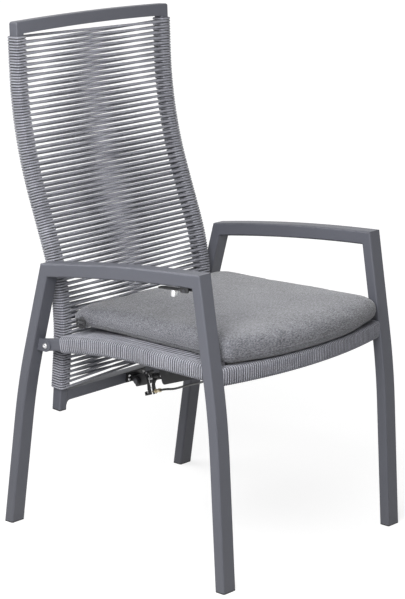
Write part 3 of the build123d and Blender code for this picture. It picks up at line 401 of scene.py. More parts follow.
def rope_across(whole, a, b, phase, rise_axis, slack=0.0):
    """A stretched strand from a to b, open at both ends, which other turns of the rope cover."""
    a, b = Vector(a), Vector(b)
    # Strands get a weaker painted shade on their sides than the wound turns.
    run, steps, painted_shade_share = b - a, 6, 0.66
    stand = Matrix.Translation(a) @ run.to_track_quat("Z", rise_axis).to_matrix().to_4x4()
    rim = rope_start(whole, stand, phase, strand_radius, painted_shade_share)
    for i in range(steps):
        rise = slack * (math.sin(math.pi * (i + 1) / steps) - math.sin(math.pi * i / steps))
        step = Matrix.Translation(run / steps + Vector((0, 0, rise)))
        rim = rope_on(whole, rim, step, run.length / steps)


class BentBar:
    """The middle line of a bent bar, in the side view, by the distance along it."""

    def __init__(self, main, cross, lean):
        self.main, self.cross, self.lean = main, cross, math.radians(lean)
        self.length, self.spans = 0.0, []

    def add(self, advance, lean=None):
        """Goes on straight, or bends to a new lean, while the main place moves by advance."""
        last = self.lean if lean is None else math.radians(lean)
        if lean is None:
            length, curve = advance / math.cos(last), 0.0
            step = advance * math.tan(last)
        else:
            radius = advance / (math.sin(last) - math.sin(self.lean))
            length, curve = radius * (last - self.lean), 1.0 / radius
            step = radius * (math.cos(self.lean) - math.cos(last))
        self.spans.append((self.length, length, self.main, self.cross, self.lean, curve))
        self.length += length
        self.main += advance
        self.cross += step
        self.lean = last
        return self

    def at(self, distance):
        """The place and the lean at a distance along the bar."""
        for start, length, main, cross, lean, curve in self.spans:
            if distance <= start + length:
                break
        on = distance - start
        if curve == 0.0:
            return main + on * math.cos(lean), cross + on * math.sin(lean), lean
        now = lean + on * curve
        aside = (math.cos(lean) - math.cos(now)) / curve
        return main + (math.sin(now) - math.sin(lean)) / curve, cross + aside, now


stile_foot_z, stile_foot_y, stile_foot_lean, stile_top_z = 0.270, 0.1998, -4.0, 1.081
stile = BentBar(stile_foot_z, stile_foot_y, stile_foot_lean)
stile.add(0.135).add(0.225, 21.2).add(0.105).add(0.266, 3.2)
stile.add(stile_top_z - stile.main)
stile_x, stile_width, stile_depth, stile_corner = 0.2301, 0.0218, 0.0242, 0.003


def on_stile(distance):
    """A frame on the stile line: X across, Y rearward, Z up the stile."""
    z, y, lean = stile.at(distance)
    return Matrix.Translation((0, y, z)) @ Matrix.Rotation(-lean, 4, "X")


strand_rise = 0.0050
return_rise = 0.0057
half_turn = 0.0058925
turn_origin = 0.50093
turn_spread = 0.00465
spread_middle, spread_reach = 0.5, 0.25
side_shift = 0.0029
winding_low_z, winding_top_gap, strand_margin = 0.316, 0.0016, 0.0005
tilt_play, turn_play, strand_play = 1.0, 0.00012, 0.0004
first_turn, turns_end = -90, 80


def turn_place(number):
    """How far up the stile a turn lies: the winder's turns open slowly from the seat to the top."""
    place = turn_origin + number * half_turn
    off = (place - spread_middle) / spread_reach
    return place + turn_spread * (off * off if abs(off) < 1 else 2 * abs(off) - 1)


chance = random.Random(12)
back_rope = bmesh.new()
back_rope.verts.layers.float_vector.new("rope_way")
stile_turn = rope_turn(stile_width, stile_depth, stile_corner)
rope_low = (winding_low_z - stile_foot_z) / math.cos(math.radians(stile_foot_lean)) + turn_margin
rope_high = stile.length - winding_top_gap - turn_margin
reach = stile_depth / 2 + rope_radius
for i in range(first_turn, turns_end):
    middle = turn_place(i)
    for side, shift in ((-1, -side_shift), (1, side_shift)):
        if not rope_low < middle + shift < rope_high:
            continue
        tilt = Matrix.Rotation(math.radians(chance.uniform(-tilt_play, tilt_play)), 4, "Y")
        place = Matrix.Translation((side * stile_x, 0, chance.uniform(-turn_play, turn_play)))
        face = Matrix.Rotation(math.pi if side < 0 else 0.0, 4, "Z")
        add_copy(back_rope, stile_turn, on_stile(middle + shift) @ place @ tilt @ face)
    for go, above in ((1, 0.0), (-1, return_rise)):
        low, high = middle + above - strand_rise / 2, middle + above + strand_rise / 2
        if i % 2 or low < rope_low or high > rope_high + strand_margin:
            continue
        left, right = (low, high) if go > 0 else (high, low)
        left += chance.uniform(-strand_play, strand_play)
        right += chance.uniform(-strand_play, strand_play)
        rope_across(back_rope, on_stile(left) @ Vector((-stile_x, -reach * go, 0)),
                    on_stile(right) @ Vector((stile_x, reach * go, 0)),
                    chance.uniform(0, 0.01), "Y", slack=chance.uniform(-0.0006, 0.0002))
back_ropes = shaped("backrest_rope", back_rope, rope_grey, "backrest")
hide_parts("backrest_winding")

rail_front_y, rail_z, rail_bend_y, rail_rear_lean = -0.2879, 0.4545, -0.09, -10.8
rail = BentBar(rail_front_y, rail_z, 0.0)
rail.add(rail_bend_y - rail.main).add(0.24, rail_rear_lean).add(0.0645)
rail_x, rail_width, rail_height, rail_corner = 0.271, 0.018, 0.026, 0.004
rib_pitch, rib_tilt, rib_play = 0.00585, 1.2, 0.00014
wound_front_y, wound_rear_y, strand_sag = -0.269, 0.1464, -0.0016


def on_rail(distance):
    """A frame on the seat rail line: X across, Y down, Z rearward along the rail."""
    y, z, lean = rail.at(distance)
    return Matrix.Translation((0, y, z)) @ Matrix.Rotation(lean - math.radians(90), 4, "X")


seat_rope = bmesh.new()
seat_rope.verts.layers.float_vector.new("rope_way")
rail_turn = rope_turn(rail_width, rail_height, rail_corner)
rope_front = wound_front_y - rail_front_y + turn_margin
rope_rear = rail.length - (rail.main - wound_rear_y) / math.cos(math.radians(rail_rear_lean)) - turn_margin
rail_turns = int((rope_rear - rope_front) / rib_pitch) + 1
for i in range(rail_turns):
    here = on_rail(rope_front + i * rib_pitch)
    for side in (-1, 1):
        tilt = Matrix.Rotation(math.radians(chance.uniform(-rib_tilt, rib_tilt)), 4, "Y")
        shift = Matrix.Translation((side * rail_x, 0, chance.uniform(-rib_play, rib_play)))
        face = Matrix.Rotation(math.pi if side < 0 else 0.0, 4, "Z")
        add_copy(seat_rope, rail_turn, here @ shift @ tilt @ face)
    if i % 2 == 0:
        top = -(rail_height / 2 + rope_radius)
        rope_across(seat_rope, here @ Vector((-rail_x, top, 0)), here @ Vector((rail_x, top, 0)),
                    chance.uniform(0, 0.01), "X", slack=strand_sag)
seat_ropes = shaped("seat_rope", seat_rope, rope_grey, "frame")
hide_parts("seat_winding")

front_rope = bmesh.new()
front_rope.verts.layers.float_vector.new("rope_way")
front_half, front_bow, front_height, front_z = 0.262, 0.032, 0.029, 0.4469
front_ends_y, front_pitch, front_inset = -0.28605, 0.0056, 0.0042
front_turn = rope_turn(rail_width, front_height, rail_corner)
front_mid_y = front_ends_y - front_bow
front_radius = (front_half**2 + front_bow**2) / (2 * front_bow)
front_turns = int(2 * (front_half - front_inset) / front_pitch)
for i in range(front_turns):
    x = -front_half + front_inset + 2 * (front_half - front_inset) * i / (front_turns - 1)
    turn = math.asin(x / front_radius)
    y = front_mid_y + front_radius * (1 - math.cos(turn))
    sweep = Matrix((
        (-math.sin(turn), 0, math.cos(turn), x),
        (math.cos(turn), 0, math.sin(turn), y),
        (0, 1, 0, front_z),
        (0, 0, 0, 1),
    ))
    tilt = Matrix.Rotation(math.radians(chance.uniform(-rib_tilt, rib_tilt)), 4, "Y")
    add_copy(front_rope, front_turn, sweep @ tilt)
front_ropes = shaped("front_rail_rope", front_rope, rope_grey, "frame")
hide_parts("front_rail_winding")


# The seat cushion. A thin loose pad of foam in a melange grey woven cover, crowned on top, bowed forward with
# the front rail, and flat where it lies on the rope. Its front edge sinks on to the rail and its corners lift.
cushion_low = 0.4732
cushion_half = 0.25
cushion_cap = 0.006
cushion_fullness = 1.12
rear_fullness = 0.11
cushion_droop = 0.0052
cushion_bow = 0.027
far_corner_lift = 0.0065
near_corner_lift = 0.0025
corner_reach = 0.0065
far_corner_forward = 0.003
roll_depth, roll_limit_y, roll_height = 0.030, -0.270, 0.018
seam_height, seam_radius = 0.0125, 0.0013


def melange_cloth(name):
    """A plain weave of mixed light and dark yarn, with flecks drawn out along the weft."""
    paint = Paint(name, (0.12, 0.12, 0.125), 0.9)
    x, y, z = paint.place().split()
    warp = ((x + z * 0.6) * (math.tau / 0.0017)).wave()
    weft = ((y + z * 0.8) * (math.tau / 0.0017)).wave()
    weave = warp * weft * 0.5 + 0.5
    fleck = paint.noise(520.0, 2.0, (0.35, 1.0, 1.0))
    yarn = paint.noise(1300.0, 1.0, (1.0, 0.4, 1.0))
    cloud = paint.noise(14.0, 3.0)
    mix = weave * 0.2 + (fleck - 0.5) * 2.4 + (yarn - 0.5) * 1.2 + (cloud - 0.5) * 0.45 + 0.40
    paint.set("Base Color", paint.blend(mix.ramp(0.0, 1.0), (0.054, 0.055, 0.064), (0.216, 0.219, 0.243)))
    paint.set("Roughness", 0.97 - weave * 0.12)
    paint.set("Sheen Weight", 0.35)
    paint.set("Sheen Roughness", 0.5)
    paint.bump(weave + fleck * 0.5, 0.45, 0.0006)
    return paint.material


melange = melange_cloth("melange_cloth_grey")


def cushion_start():
    """The pad before filling: the cushion's own solid, a little smaller about its low face, evenly meshed."""
    pad = bmesh.new()
    pad.from_mesh(nodes["seat_cushion"].data)
    bmesh.ops.remove_doubles(pad, verts=pad.verts, dist=0.00005)
    low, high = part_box("seat_cushion")
    middle = Vector(((low[0] + high[0]) / 2, (low[1] + high[1]) / 2, low[2]))
    smaller = Matrix.Diagonal((0.982, 0.982, 0.9, 1.0))
    shrink = Matrix.Translation(middle) @ smaller @ Matrix.Translation(-middle)
    bmesh.ops.transform(pad, matrix=shrink, verts=pad.verts)
    bmesh.ops.recalc_face_normals(pad, faces=pad.faces)
    mesh = held_mesh(pad)
    holder = bpy.data.objects.new("cushion_start", mesh)
    bpy.context.collection.objects.link(holder)
    remesh = holder.modifiers.new("even", "REMESH")
    remesh.mode = "VOXEL"
    remesh.voxel_size = 0.0055
    return as_mesh(holder)


def filled(mesh):
    """Blows the pad up as foam fills its cover, and limits how far any point moves."""
    before = [v.co.copy() for v in mesh.vertices]
    holder = bpy.data.objects.new("cushion_filled", mesh)
    bpy.context.collection.objects.link(holder)
    cloth = holder.modifiers.new("cover", "CLOTH")
    cloth.settings.quality = 6
    cloth.settings.mass = 0.4
    cloth.settings.tension_stiffness = 30
    cloth.settings.compression_stiffness = 30
    cloth.settings.shear_stiffness = 12
    cloth.settings.bending_stiffness = 3
    cloth.settings.use_pressure = True
    cloth.settings.uniform_pressure_force = 4.0
    cloth.settings.effector_weights.gravity = 0.0
    last_frame = 20
    cloth.point_cache.frame_end = last_frame
    for number in range(1, last_frame + 1):
        bpy.context.scene.frame_set(number)
    after = as_mesh(holder)
    bpy.context.scene.frame_set(1)
    for v, old in zip(after.vertices, before):
        move = v.co - old
        if move.length > cushion_cap:
            v.co = old + move.normalized() * cushion_cap
    return after


def eased(value, low, high):
    """0 below low, 1 above high, and smooth between them."""
    share = min(max((value - low) / (high - low), 0.0), 1.0)
    return share * share * (3 - 2 * share)


def settled(x, y, z):
    """Where a point of the filled pad lies once the cushion rests on the chair."""
    rise = max(z - cushion_low, 0.0) * (cushion_fullness + rear_fullness * (1 - eased(-y, 0.17, 0.29)))
    low_share = 1 - 0.65 * eased(rise, 0.0, 0.035)
    rail_y = front_mid_y + front_radius * (1 - math.cos(math.asin(x / front_radius)))
    y -= cushion_bow * eased(-y, 0.20, 0.31) * (1 - min(abs(x) / cushion_half, 1.0) ** 3)
    over_rail = eased(min(rail_y + roll_depth, roll_limit_y) - y, 0.0, 0.020)
    corner = eased(abs(x), 0.17, cushion_half) * eased(-y, 0.20, 0.30)
    lift = far_corner_lift * eased(x, 0.10, 0.23) + near_corner_lift * eased(-x, 0.10, 0.22)
    lift *= eased(-y, 0.20, 0.29) * low_share
    rise *= 1 - 0.6 * over_rail * (1 - corner) * (1 - eased(rise, 0.0, roll_height))
    x += math.copysign(corner_reach, x) * corner
    if x > 0:
        y -= far_corner_forward * corner
    return x, y, cushion_low + rise - cushion_droop * over_rail * low_share + lift


pad = cushion_start()
pad = filled(pad)
for v in pad.vertices:
    v.co = settled(*v.co)
cushion = shaped("cushion", pad, melange, "frame")
smoother = cushion.modifiers.new("smooth", "SMOOTH")
smoother.factor = 0.5
smoother.iterations = 3
finer = cushion.modifiers.new("fine", "SUBSURF")
finer.levels = finer.render_levels = 1
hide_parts("seat_cushion")


def outline_at(piece, height):
    """The points where a piece's skin crosses a level, in order round it, with small steps eased out."""
    skin = bmesh.new()
    skin.from_mesh(piece.evaluated_get(bpy.context.evaluated_depsgraph_get()).to_mesh())
    whole = list(skin.verts) + list(skin.edges) + list(skin.faces)
    cut = bmesh.ops.bisect_plane(skin, geom=whole, plane_co=(0, 0, height), plane_no=(0, 0, 1))["geom_cut"]
    edges = {g for g in cut if isinstance(g, bmesh.types.BMEdge)}
    here = min((v for e in edges for v in e.verts), key=lambda v: (v.co.y, v.co.x))
    start, ring, edge = here, [], None
    while True:
        ring.append(here.co.copy())
        edge = min((e for e in here.link_edges if e in edges and e is not edge),
                   key=lambda e: (e.other_vert(here).co.x, e.other_vert(here).co.y))
        here = edge.other_vert(here)
        if here is start:
            break
    skin.free()
    easing_rounds = 12
    for _ in range(easing_rounds):
        ring = [(a + b * 2 + c) / 4 for a, b, c in zip(ring[-1:] + ring[:-1], ring, ring[1:] + ring[:1])]
    return ring


def closed_cord(name, ring, radius):
    """A closed round cord that follows a ring of points."""
    line = bpy.data.curves.new(name, "CURVE")
    line.dimensions = "3D"
    line.bevel_depth = radius
    line.bevel_resolution = 1
    spline = line.splines.new("POLY")
    spline.points.add(len(ring) - 1)
    for point, spot in zip(spline.points, ring):
        point.co = (*spot, 1.0)
    spline.use_cyclic_u = True
    holder = bpy.data.objects.new(name, line)
    bpy.context.collection.objects.link(holder)
    return as_mesh(holder)


seam_ring = outline_at(cushion, cushion_low + seam_height)[::2]
seam = shaped("cushion_seam", closed_cord("seam_line", seam_ring, seam_radius), melange, "frame")


# The plastic parts. Glides pressed into the feet, plugs in the stiles and bushes in the pivots, all moulded
# in black with a fine grain.
def moulded(name, colour, roughness):
    """Moulded plastic: spark-eroded grain with a slight scuffing."""
    paint = Paint(name, colour, roughness)
    grain = paint.noise(1300.0, 2.0)
    scuff = paint.noise(90.0, 4.0)
    paint.set("Base Color", paint.blend(scuff.ramp(0.5, 0.8), colour, tuple(c * 1.8 + 0.006 for c in colour)))
    paint.set("Roughness", grain * 0.2 + (roughness - 0.1))
    paint.bump(grain, 0.25, 0.0002)
    return paint.material


plastic_black = moulded("moulded_plastic_black", (0.022, 0.022, 0.024), 0.52)
coat(plastic_black, "foot_glides", "stile_caps", "pivot_bushes")


# The cushion's fastenings. A moulded ladder buckle on a short woven strap is sewn into each side near the
# back; the strap comes out of the seam, passes over the buckle's middle bar, and ends in a folded hem.
def webbing(name, colour):
    """Woven strap: fine ribs across it, and a slightly paler, worn yarn here and there."""
    paint = Paint(name, colour, 0.8)
    y, z = paint.place().split()[1:]
    ribs = (z * (math.tau / 0.0016)).wave() * 0.5 + 0.5
    twill = ((y + z) * (math.tau / 0.0011)).wave() * 0.5 + 0.5
    worn = paint.noise(240.0, 3.0)
    paint.set("Base Color", paint.blend(worn * 0.5 + ribs * 0.3, colour, tuple(c * 2.4 + 0.01 for c in colour)))
    paint.set("Roughness", 0.88 - ribs * 0.12)
    paint.bump(ribs + twill * 0.6, 0.5, 0.0003)
    return paint.material


strap_black = webbing("strap_webbing_black", (0.030, 0.030, 0.033))
buckle_x, buckle_y, buckle_z = 0.2555, 0.108, 0.4848
buckle_columns = (-0.0130, -0.0096, 0.0096, 0.0130)
buckle_rows = (-0.0090, -0.0062, -0.0016, 0.0016, 0.0062, 0.0090)
buckle_thickness = 0.0026
strap_width, strap_thickness = 0.014, 0.0011
strap_run = [(-0.0026, 0.0135), (-0.0014, 0.0110), (-0.0008, 0.0080), (-0.0006, 0.0050), (0.0022, 0.0026),
             (0.0040, 0.0010), (0.0040, -0.0010), (0.0022, -0.0028), (0.0002, -0.0052), (0.0000, -0.0082),
             (0.0010, -0.0110), (0.0018, -0.0125)]


def thicken(part, faces, thickness):
    """Draws flat faces out along Z into a closed solid."""
    grown = bmesh.ops.extrude_face_region(part, geom=faces)["geom"]
    verts = [g for g in grown if isinstance(g, bmesh.types.BMVert)]
    bmesh.ops.translate(part, vec=(0, 0, thickness), verts=verts)
    bmesh.ops.recalc_face_normals(part, faces=part.faces)


def ladder_buckle():
    """A flat moulded frame with two slots, lying in XY."""
    part = bmesh.new()
    across, along = len(buckle_columns) - 1, len(buckle_rows) - 1
    bmesh.ops.create_grid(part, x_segments=across, y_segments=along, size=1.0)
    for v in part.verts:
        v.co.x = buckle_columns[round((v.co.x + 1) / 2 * across)]
        v.co.y = buckle_rows[round((v.co.y + 1) / 2 * along)]
    middles = [(f, f.calc_center_median()) for f in part.faces]
    slots = [f for f, middle in middles if abs(middle.x) < buckle_columns[2]
             and buckle_rows[3] < abs(middle.y) < buckle_rows[4]]
    bmesh.ops.delete(part, geom=slots, context="FACES")
    thicken(part, part.faces[:], buckle_thickness)
    sharp = [e for e in part.edges if len(e.link_faces) == 2 and e.calc_face_angle() > 1.0]
    bmesh.ops.bevel(part, geom=sharp, offset=0.0007, segments=3, profile=0.5, affect="EDGES", material=-1)
    return part


def strip(points, width, thickness):
    """A flat strap along points of (out, up), lying across Y; its edges are rounded later by subdivision."""
    part = bmesh.new()
    first = [part.verts.new((points[0][0], y, points[0][1])) for y in (-width / 2, 0.0, width / 2)]
    rim = [part.edges.new(pair) for pair in zip(first, first[1:])]
    for (x0, z0), (x1, z1) in zip(points, points[1:]):
        rim = carried_on(part, rim, Matrix.Translation((x1 - x0, 0, z1 - z0)))[0]
    bmesh.ops.recalc_face_normals(part, faces=part.faces)
    bmesh.ops.solidify(part, geom=part.faces[:], thickness=thickness)
    bmesh.ops.recalc_face_normals(part, faces=part.faces)
    return part


buckles, straps = bmesh.new(), bmesh.new()
flat_buckle = held_mesh(ladder_buckle())
flat_strap = held_mesh(strip(strap_run, strap_width, strap_thickness))
for side in (-1, 1):
    spot = Matrix.Translation((side * buckle_x, buckle_y, buckle_z))
    stand = Matrix(((0, 0, side, 0), (side, 0, 0, 0), (0, 1, 0, 0), (0, 0, 0, 1)))
    add_copy(buckles, flat_buckle, spot @ stand)
    add_copy(straps, flat_strap, spot @ Matrix.Rotation(0.0 if side > 0 else math.pi, 4, "Z"))
buckle_piece = shaped("ladder_buckles", buckles, plastic_black, "frame")
strap_piece = shaped("cushion_straps", straps, strap_black, "frame")
rounder = strap_piece.modifiers.new("rounded", "SUBSURF")
rounder.levels = rounder.render_levels = 2
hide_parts("cushion_clips")


# The recline mechanism. Pressed and folded steel in black, a chromed rod, bright pins and screws, and a
# turned brass cable adjuster.
def black_steel(name, colour, roughness, grain):
    """Black coated pressings: fine grain, rubbed paler patches."""
    paint = Paint(name, colour, roughness)
    fine = paint.noise(grain, 2.0)
    rub = paint.noise(46.0, 4.0)
    paint.set("Base Color", paint.blend(rub.ramp(0.52, 0.78), colour, tuple(c * 2.2 + 0.01 for c in colour)))
    paint.set("Roughness", fine * 0.2 + rub * 0.12 + (roughness - 0.14))
    paint.bump(fine, 0.2, 0.0002)
    return paint.material


def bright_metal(name, colour, roughness, lines, axis):
    """Turned metal: fine tool lines across one axis, and slight stains."""
    paint = Paint(name, colour, roughness, 1.0)
    stretch = tuple(1.0 if i == axis else 0.02 for i in range(3))
    tool = paint.noise(lines, 2.0, stretch)
    stain = paint.noise(60.0, 3.0)
    paint.set("Base Color", paint.blend(stain.ramp(0.35, 0.8), colour, tuple(c * 0.72 for c in colour)))
    paint.set("Roughness", tool * 0.16 + stain * 0.12 + (roughness - 0.1))
    paint.bump(tool, 0.15, 0.0001)
    return paint.material


steel_black = black_steel("pressed_steel_black", (0.018, 0.018, 0.020), 0.42, 1600.0)
tube_black = black_steel("cylinder_black", (0.012, 0.012, 0.013), 0.28, 500.0)
steel_bright = bright_metal("bright_steel", (0.60, 0.60, 0.61), 0.32, 900.0, 0)
steel_dark = bright_metal("blackened_steel", (0.10, 0.10, 0.11), 0.38, 900.0, 0)
chrome = bright_metal("chromed_rod", (0.78, 0.78, 0.80), 0.12, 1400.0, 1)
brass = bright_metal("turned_brass", (0.62, 0.54, 0.38), 0.34, 900.0, 1)
coat(steel_black, "spring_channel", "channel_hanger", "spring_bracket", "release_head")
coat(tube_black, "gas_cylinder", "rod_sleeve")
coat(steel_bright, "pivot_nuts", "arm_pin", "rod_nut", "wire_nipple", "release_wire")
coat(steel_dark, "rod_end_pin", "spring_pin")
coat(chrome, "gas_rod")
coat(brass, "cable_adjuster")


def turned(profile, steps=28):
    """A turned part along Z from a profile of (radius, height) points."""
    part = bmesh.new()
    verts = [part.verts.new((radius, 0, height)) for radius, height in profile]
    edges = [part.edges.new(pair) for pair in zip(verts, verts[1:])]
    bmesh.ops.spin(part, geom=verts + edges, cent=(0, 0, 0), axis=(0, 0, 1), angle=math.tau, steps=steps,
                   use_merge=True)
    bmesh.ops.remove_doubles(part, verts=part.verts, dist=0.00001)
    bmesh.ops.recalc_face_normals(part, faces=part.faces)
    return part


def socket_screw(radius, height, key, shank, length):
    """A button-headed screw with a hexagon socket; its head's seat is at height 0."""
    body = [(0.0, -length), (shank * 0.86, -length), (shank, -length + shank * 0.3), (shank, 0.0)]
    head = [(radius, 0.0), (radius, height * 0.22), (radius * 0.94, height * 0.52),
            (radius * 0.76, height * 0.82), (key * 1.25, height)]
    socket = [(key * 1.08, height * 0.96), (key, height * 0.88), (key * 0.98, height * 0.4),
              (0.0, height * 0.34)]
    screw = turned(body + head + socket, 36)
    half_side = math.radians(30)
    for v in screw.verts:
        out = math.hypot(v.co.x, v.co.y)
        if v.co.z > 0 and 0.9 * key < out < 1.02 * key:
            turn = math.atan2(v.co.y, v.co.x) % (2 * half_side) - half_side
            v.co.xy = v.co.xy * (math.cos(half_side) * 1.04 / math.cos(turn))
    return held_mesh(screw)


spring_start = Vector((0, 0.169379, 0.292))
along_rod, above_rod = Vector((0, -0.940492, 0.339816)), Vector((0, 0.339816, 0.940492))
rod_frame = Matrix.Translation(spring_start) @ Matrix((
    (1, 0, 0, 0),
    (0, above_rod.y, along_rod.y, 0),
    (0, above_rod.z, along_rod.z, 0),
    (0, 0, 0, 1),
))


def pressed_plate(whole, outline, start, thickness, edge=0.0005):
    """A flat pressing cut to an outline across the rod, with its edges eased."""
    part = bmesh.new()
    thicken(part, [part.faces.new([part.verts.new((x, w, start)) for x, w in outline])], thickness)
    bmesh.ops.bevel(part, geom=part.edges[:], offset=edge, segments=2, profile=0.5, affect="EDGES", material=-1)
    add_copy(whole, held_mesh(part), rod_frame)


# The arm has a hook at its foot: the foot runs back along the rod, and a lip turns up at its end.
arm_start, arm_thickness = 0.0316, 0.0030
foot_start, foot_length, lip_thickness = 0.0206, 0.0140, 0.0022
arm_outline = [(0.0067, 0.0125), (-0.0067, 0.0125), (-0.0120, 0.0095), (-0.0165, 0.0030), (-0.0160, -0.0120),
               (-0.0190, -0.0240), (-0.0190, -0.0340), (-0.0100, -0.0340), (-0.0100, -0.0240),
               (-0.0080, -0.0120), (-0.0082, 0.0025), (-0.0050, 0.0073), (0.0067, 0.0073)]
foot_outline = [(-0.0190, -0.0370), (-0.0190, -0.0340), (-0.0100, -0.0340), (-0.0100, -0.0370)]
lip_outline = [(-0.0190, -0.0350), (-0.0190, -0.0295), (-0.0170, -0.0280), (-0.0120, -0.0280),
               (-0.0100, -0.0295), (-0.0100, -0.0350)]
hook_arm = bmesh.new()
pressed_plate(hook_arm, arm_outline, arm_start, arm_thickness)
pressed_plate(hook_arm, foot_outline, foot_start, foot_length)
pressed_plate(hook_arm, lip_outline, foot_start, lip_thickness)
barrel_in, barrel_out, barrel_half = 0.0021, 0.0034, 0.0066
barrel_profile = [(barrel_in, -barrel_half), (barrel_out, -barrel_half), (barrel_out, barrel_half),
                  (barrel_in, barrel_half), (barrel_in, -barrel_half)]
on_pin = Matrix.Translation((0, 0.0125, 0.0331)) @ Matrix.Rotation(math.radians(90), 4, "Y")
add_copy(hook_arm, held_mesh(turned(barrel_profile)), rod_frame @ on_pin)
arm_piece = shaped("release_hook_arm", hook_arm, steel_black, "release_arm", smooth=False)
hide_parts("release_arm")

# The cable plate's finger has a slot from its end, in which the wire and its adjuster stand.
plate_start, plate_thickness = 0.046, 0.003
plate_outline = [(-0.0085, 0.0090), (0.0085, 0.0090), (0.0085, -0.0080), (-0.0020, -0.0095),
                 (-0.0078, -0.0160), (-0.0088, -0.0240), (-0.0088, -0.0370), (-0.0122, -0.0370),
                 (-0.0122, -0.0300), (-0.0140, -0.0284), (-0.0158, -0.0300), (-0.0158, -0.0370),
                 (-0.0192, -0.0370), (-0.0192, -0.0240), (-0.0165, -0.0140), (-0.0100, -0.0040)]
plate = bmesh.new()
pressed_plate(plate, plate_outline, plate_start, plate_thickness)
plate_piece = shaped("cable_finger_plate", plate, steel_black, "gas_rod", smooth=False)
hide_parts("cable_plate")

coil_turns, coil_steps, coil_radius, coil_pitch, wire_radius = 3.5, 10, 0.0026, 0.0013, 0.0006
coil_x, coil_w, coil_along = -0.0094, -0.0010, 0.0398
coil_points = [(-0.0100, 0.0100, 0.0368), (-0.0096, 0.0060, 0.0372)]
for step in range(int(coil_turns * coil_steps) + 1):
    turn = math.tau * step / coil_steps
    coil_points.append((coil_x - coil_pitch * step / coil_steps, coil_w + coil_radius * math.cos(turn),
                        coil_along + coil_radius * math.sin(turn)))
coil_points += [(-0.0142, -0.0080, 0.0385), (-0.0140, -0.0190, 0.0392), (-0.0138, -0.0235, 0.0402)]
coil_route = [tuple(rod_frame @ Vector(p)) for p in coil_points]
coil_wire = as_mesh(smooth_route("return_spring", coil_route, wire_radius))
coil = shaped("return_spring_wire", coil_wire, steel_bright, "gas_rod")

pivot_x, pivot_y, pivot_z = 0.2835, 0.1894, 0.4240
bolts = bmesh.new()
pivot_screw = socket_screw(radius=0.0065, height=0.0045, key=0.0026, shank=0.004, length=0.0696)
for side in (-1, 1):
    turn = Matrix.Rotation(math.radians(90 * side), 4, "Y")
    add_copy(bolts, pivot_screw, Matrix.Translation((side * pivot_x, pivot_y, pivot_z)) @ turn)
bolt_piece = shaped("pivot_bolts_bright", bolts, steel_bright, "frame")
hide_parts("pivot_bolts")

# The screws stand square on the crossrail's front face, which leans with the stiles.
screw_lean = math.radians(stile_foot_lean)
screw_z, screw_x, screw_step, face_depth = 0.300, 0.023, 0.00425, 0.014
screw_y = stile_foot_y + (screw_z - stile_foot_z) * math.tan(screw_lean)
screws = bmesh.new()
small_screw = socket_screw(radius=0.0032, height=0.0022, key=0.0013, shank=0.0025, length=0.008)
for x in (-screw_x, screw_x):
    for step in (-screw_step, screw_step):
        y = screw_y - face_depth * math.cos(screw_lean) + step * math.sin(screw_lean)
        z = screw_z + step * math.cos(screw_lean) + face_depth * math.sin(screw_lean)
        turn = Matrix.Rotation(math.radians(90) - screw_lean, 4, "X")
        add_copy(screws, small_screw, Matrix.Translation((x, y, z)) @ turn)
screw_piece = shaped("bracket_screws_bright", screws, steel_bright, "backrest")
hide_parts("bracket_screws")


# The hand lever. A flat black blade hangs under the right armrest in a small folded bracket, with a
# turned bright knob where the fingers find it.
coat(steel_black, "lever_bracket", "hand_lever")
coat(steel_dark, "lever_pin")
lever_lean = math.radians(3.4)
knob_low, knob_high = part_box("lever_knob")
knob_middle = Vector([(a + b) / 2 for a, b in zip(knob_low, knob_high)])
knob_profile = [(0.0, 0.0062), (0.0063, 0.0062), (0.0068, 0.0057), (0.0068, 0.0034), (0.0064, 0.0031),
                (0.0064, 0.0026), (0.0068, 0.0023), (0.0068, -0.0074), (0.0058, -0.0086), (0.0030, -0.0086),
                (0.0026, -0.0080), (0.0, -0.0080)]
knob = turned(knob_profile, 32)
knob_stand = Matrix.Translation(knob_middle) @ Matrix.Rotation(lever_lean, 4, "X")
bmesh.ops.transform(knob, matrix=knob_stand, verts=knob.verts)
satin = bright_metal("satin_aluminium", (0.86, 0.86, 0.87), 0.36, 700.0, 2)
knob_piece = shaped("lever_knob_turned", knob, satin, "hand_lever")
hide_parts("lever_knob")


# The floor and the light. A wide pale studio floor, one broad soft lamp above the chair's right side, a weaker
# one low by the lens, a very soft overhead light, and a dim surround that the lens sees as white.
bright_rays = ("Camera", "Glossy", "Transmission")
white_share, near_share, white_strength = 0.2, 0.183, 4.2
near_squared, far_squared = 0.5, 6.0


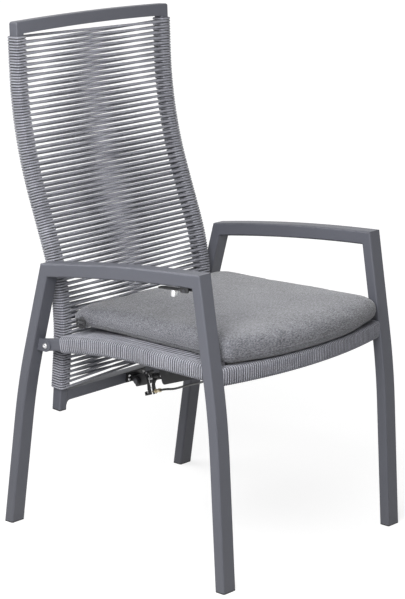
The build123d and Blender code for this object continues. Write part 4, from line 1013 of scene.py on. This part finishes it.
def bright_ground():
    """Pale floor that the lens sees as white, with less glow round the chair: a painted shade that deepens its
    shadow there.
    """
    paint = Paint("studio_white", (0.38, 0.38, 0.38), 0.9)
    seen = sum(paint.add("ShaderNodeLightPath", {}, {}, output=f"Is {ray} Ray") for ray in bright_rays)
    x, y = paint.place().split()[:2]
    # Painted shade: the glow share falls from the far floor towards the chair, darkening the floor where its
    # shadow lies.
    away = (x * x + y * y).ramp(near_squared, far_squared)
    share = near_share + away * (white_share - near_share)
    glow = paint.add("ShaderNodeEmission", {}, {"Color": (1.0, 1.0, 1.0, 1.0), "Strength": white_strength})
    plain = Signal(paint, paint.shader.outputs[0])
    mixed = paint.add("ShaderNodeMixShader", {}, {0: seen * share, 1: plain, 2: glow})
    paint.tree.links.new(mixed.socket, paint.tree.nodes["Material Output"].inputs["Surface"])
    return paint.material


ground = bmesh.new()
bmesh.ops.create_grid(ground, x_segments=1, y_segments=1, size=14.0)
floor = shaped("studio_floor", ground, bright_ground(), None)


def lamp(name, spot, aim, size, power):
    """A rectangular lamp at one place, turned towards another."""
    light = bpy.data.lights.new(name, "AREA")
    light.shape = "RECTANGLE"
    light.size, light.size_y = size
    light.energy = power
    holder = bpy.data.objects.new(name, light)
    holder.location = spot
    holder.rotation_euler = (Vector(aim) - Vector(spot)).to_track_quat("-Z", "Y").to_euler()
    bpy.context.collection.objects.link(holder)


lamp("key_soft", (-1.7, -0.85, 1.9), (-0.1, -0.1, 0.85), (1.5, 1.5), 80.0)
lamp("edge_soft", (-3.3, -3.0, 0.7), (0, 0, 0.6), (0.9, 0.9), 5.0)
overhead = bpy.data.lights.new("overhead_soft", "SUN")
overhead.energy = 1.5
overhead.angle = math.radians(50)
overhead_holder = bpy.data.objects.new("overhead_soft", overhead)
overhead_holder.rotation_euler = Vector((0.30, -0.55, -1.0)).to_track_quat("-Z", "Y").to_euler()
bpy.context.collection.objects.link(overhead_holder)

surround = bpy.data.worlds.new("studio_surround")
bpy.context.scene.world = surround
surround.use_nodes = True
sky = surround.node_tree
seen_rays = None
for ray in bright_rays:
    paths = sky.nodes.new("ShaderNodeLightPath")
    total = sky.nodes.new("ShaderNodeMath")
    total.operation = "ADD"
    total.inputs[0].default_value = 0.0
    if seen_rays:
        sky.links.new(seen_rays, total.inputs[0])
    sky.links.new(paths.outputs[f"Is {ray} Ray"], total.inputs[1])
    seen_rays = total.outputs[0]
level = sky.nodes.new("ShaderNodeMapRange")
sky.links.new(seen_rays, level.inputs["Value"])
level.inputs["To Min"].default_value = 0.12
level.inputs["To Max"].default_value = 1.0
sky.nodes["Background"].inputs["Color"].default_value = (1.0, 1.0, 1.0, 1.0)
sky.links.new(level.outputs["Result"], sky.nodes["Background"].inputs["Strength"])
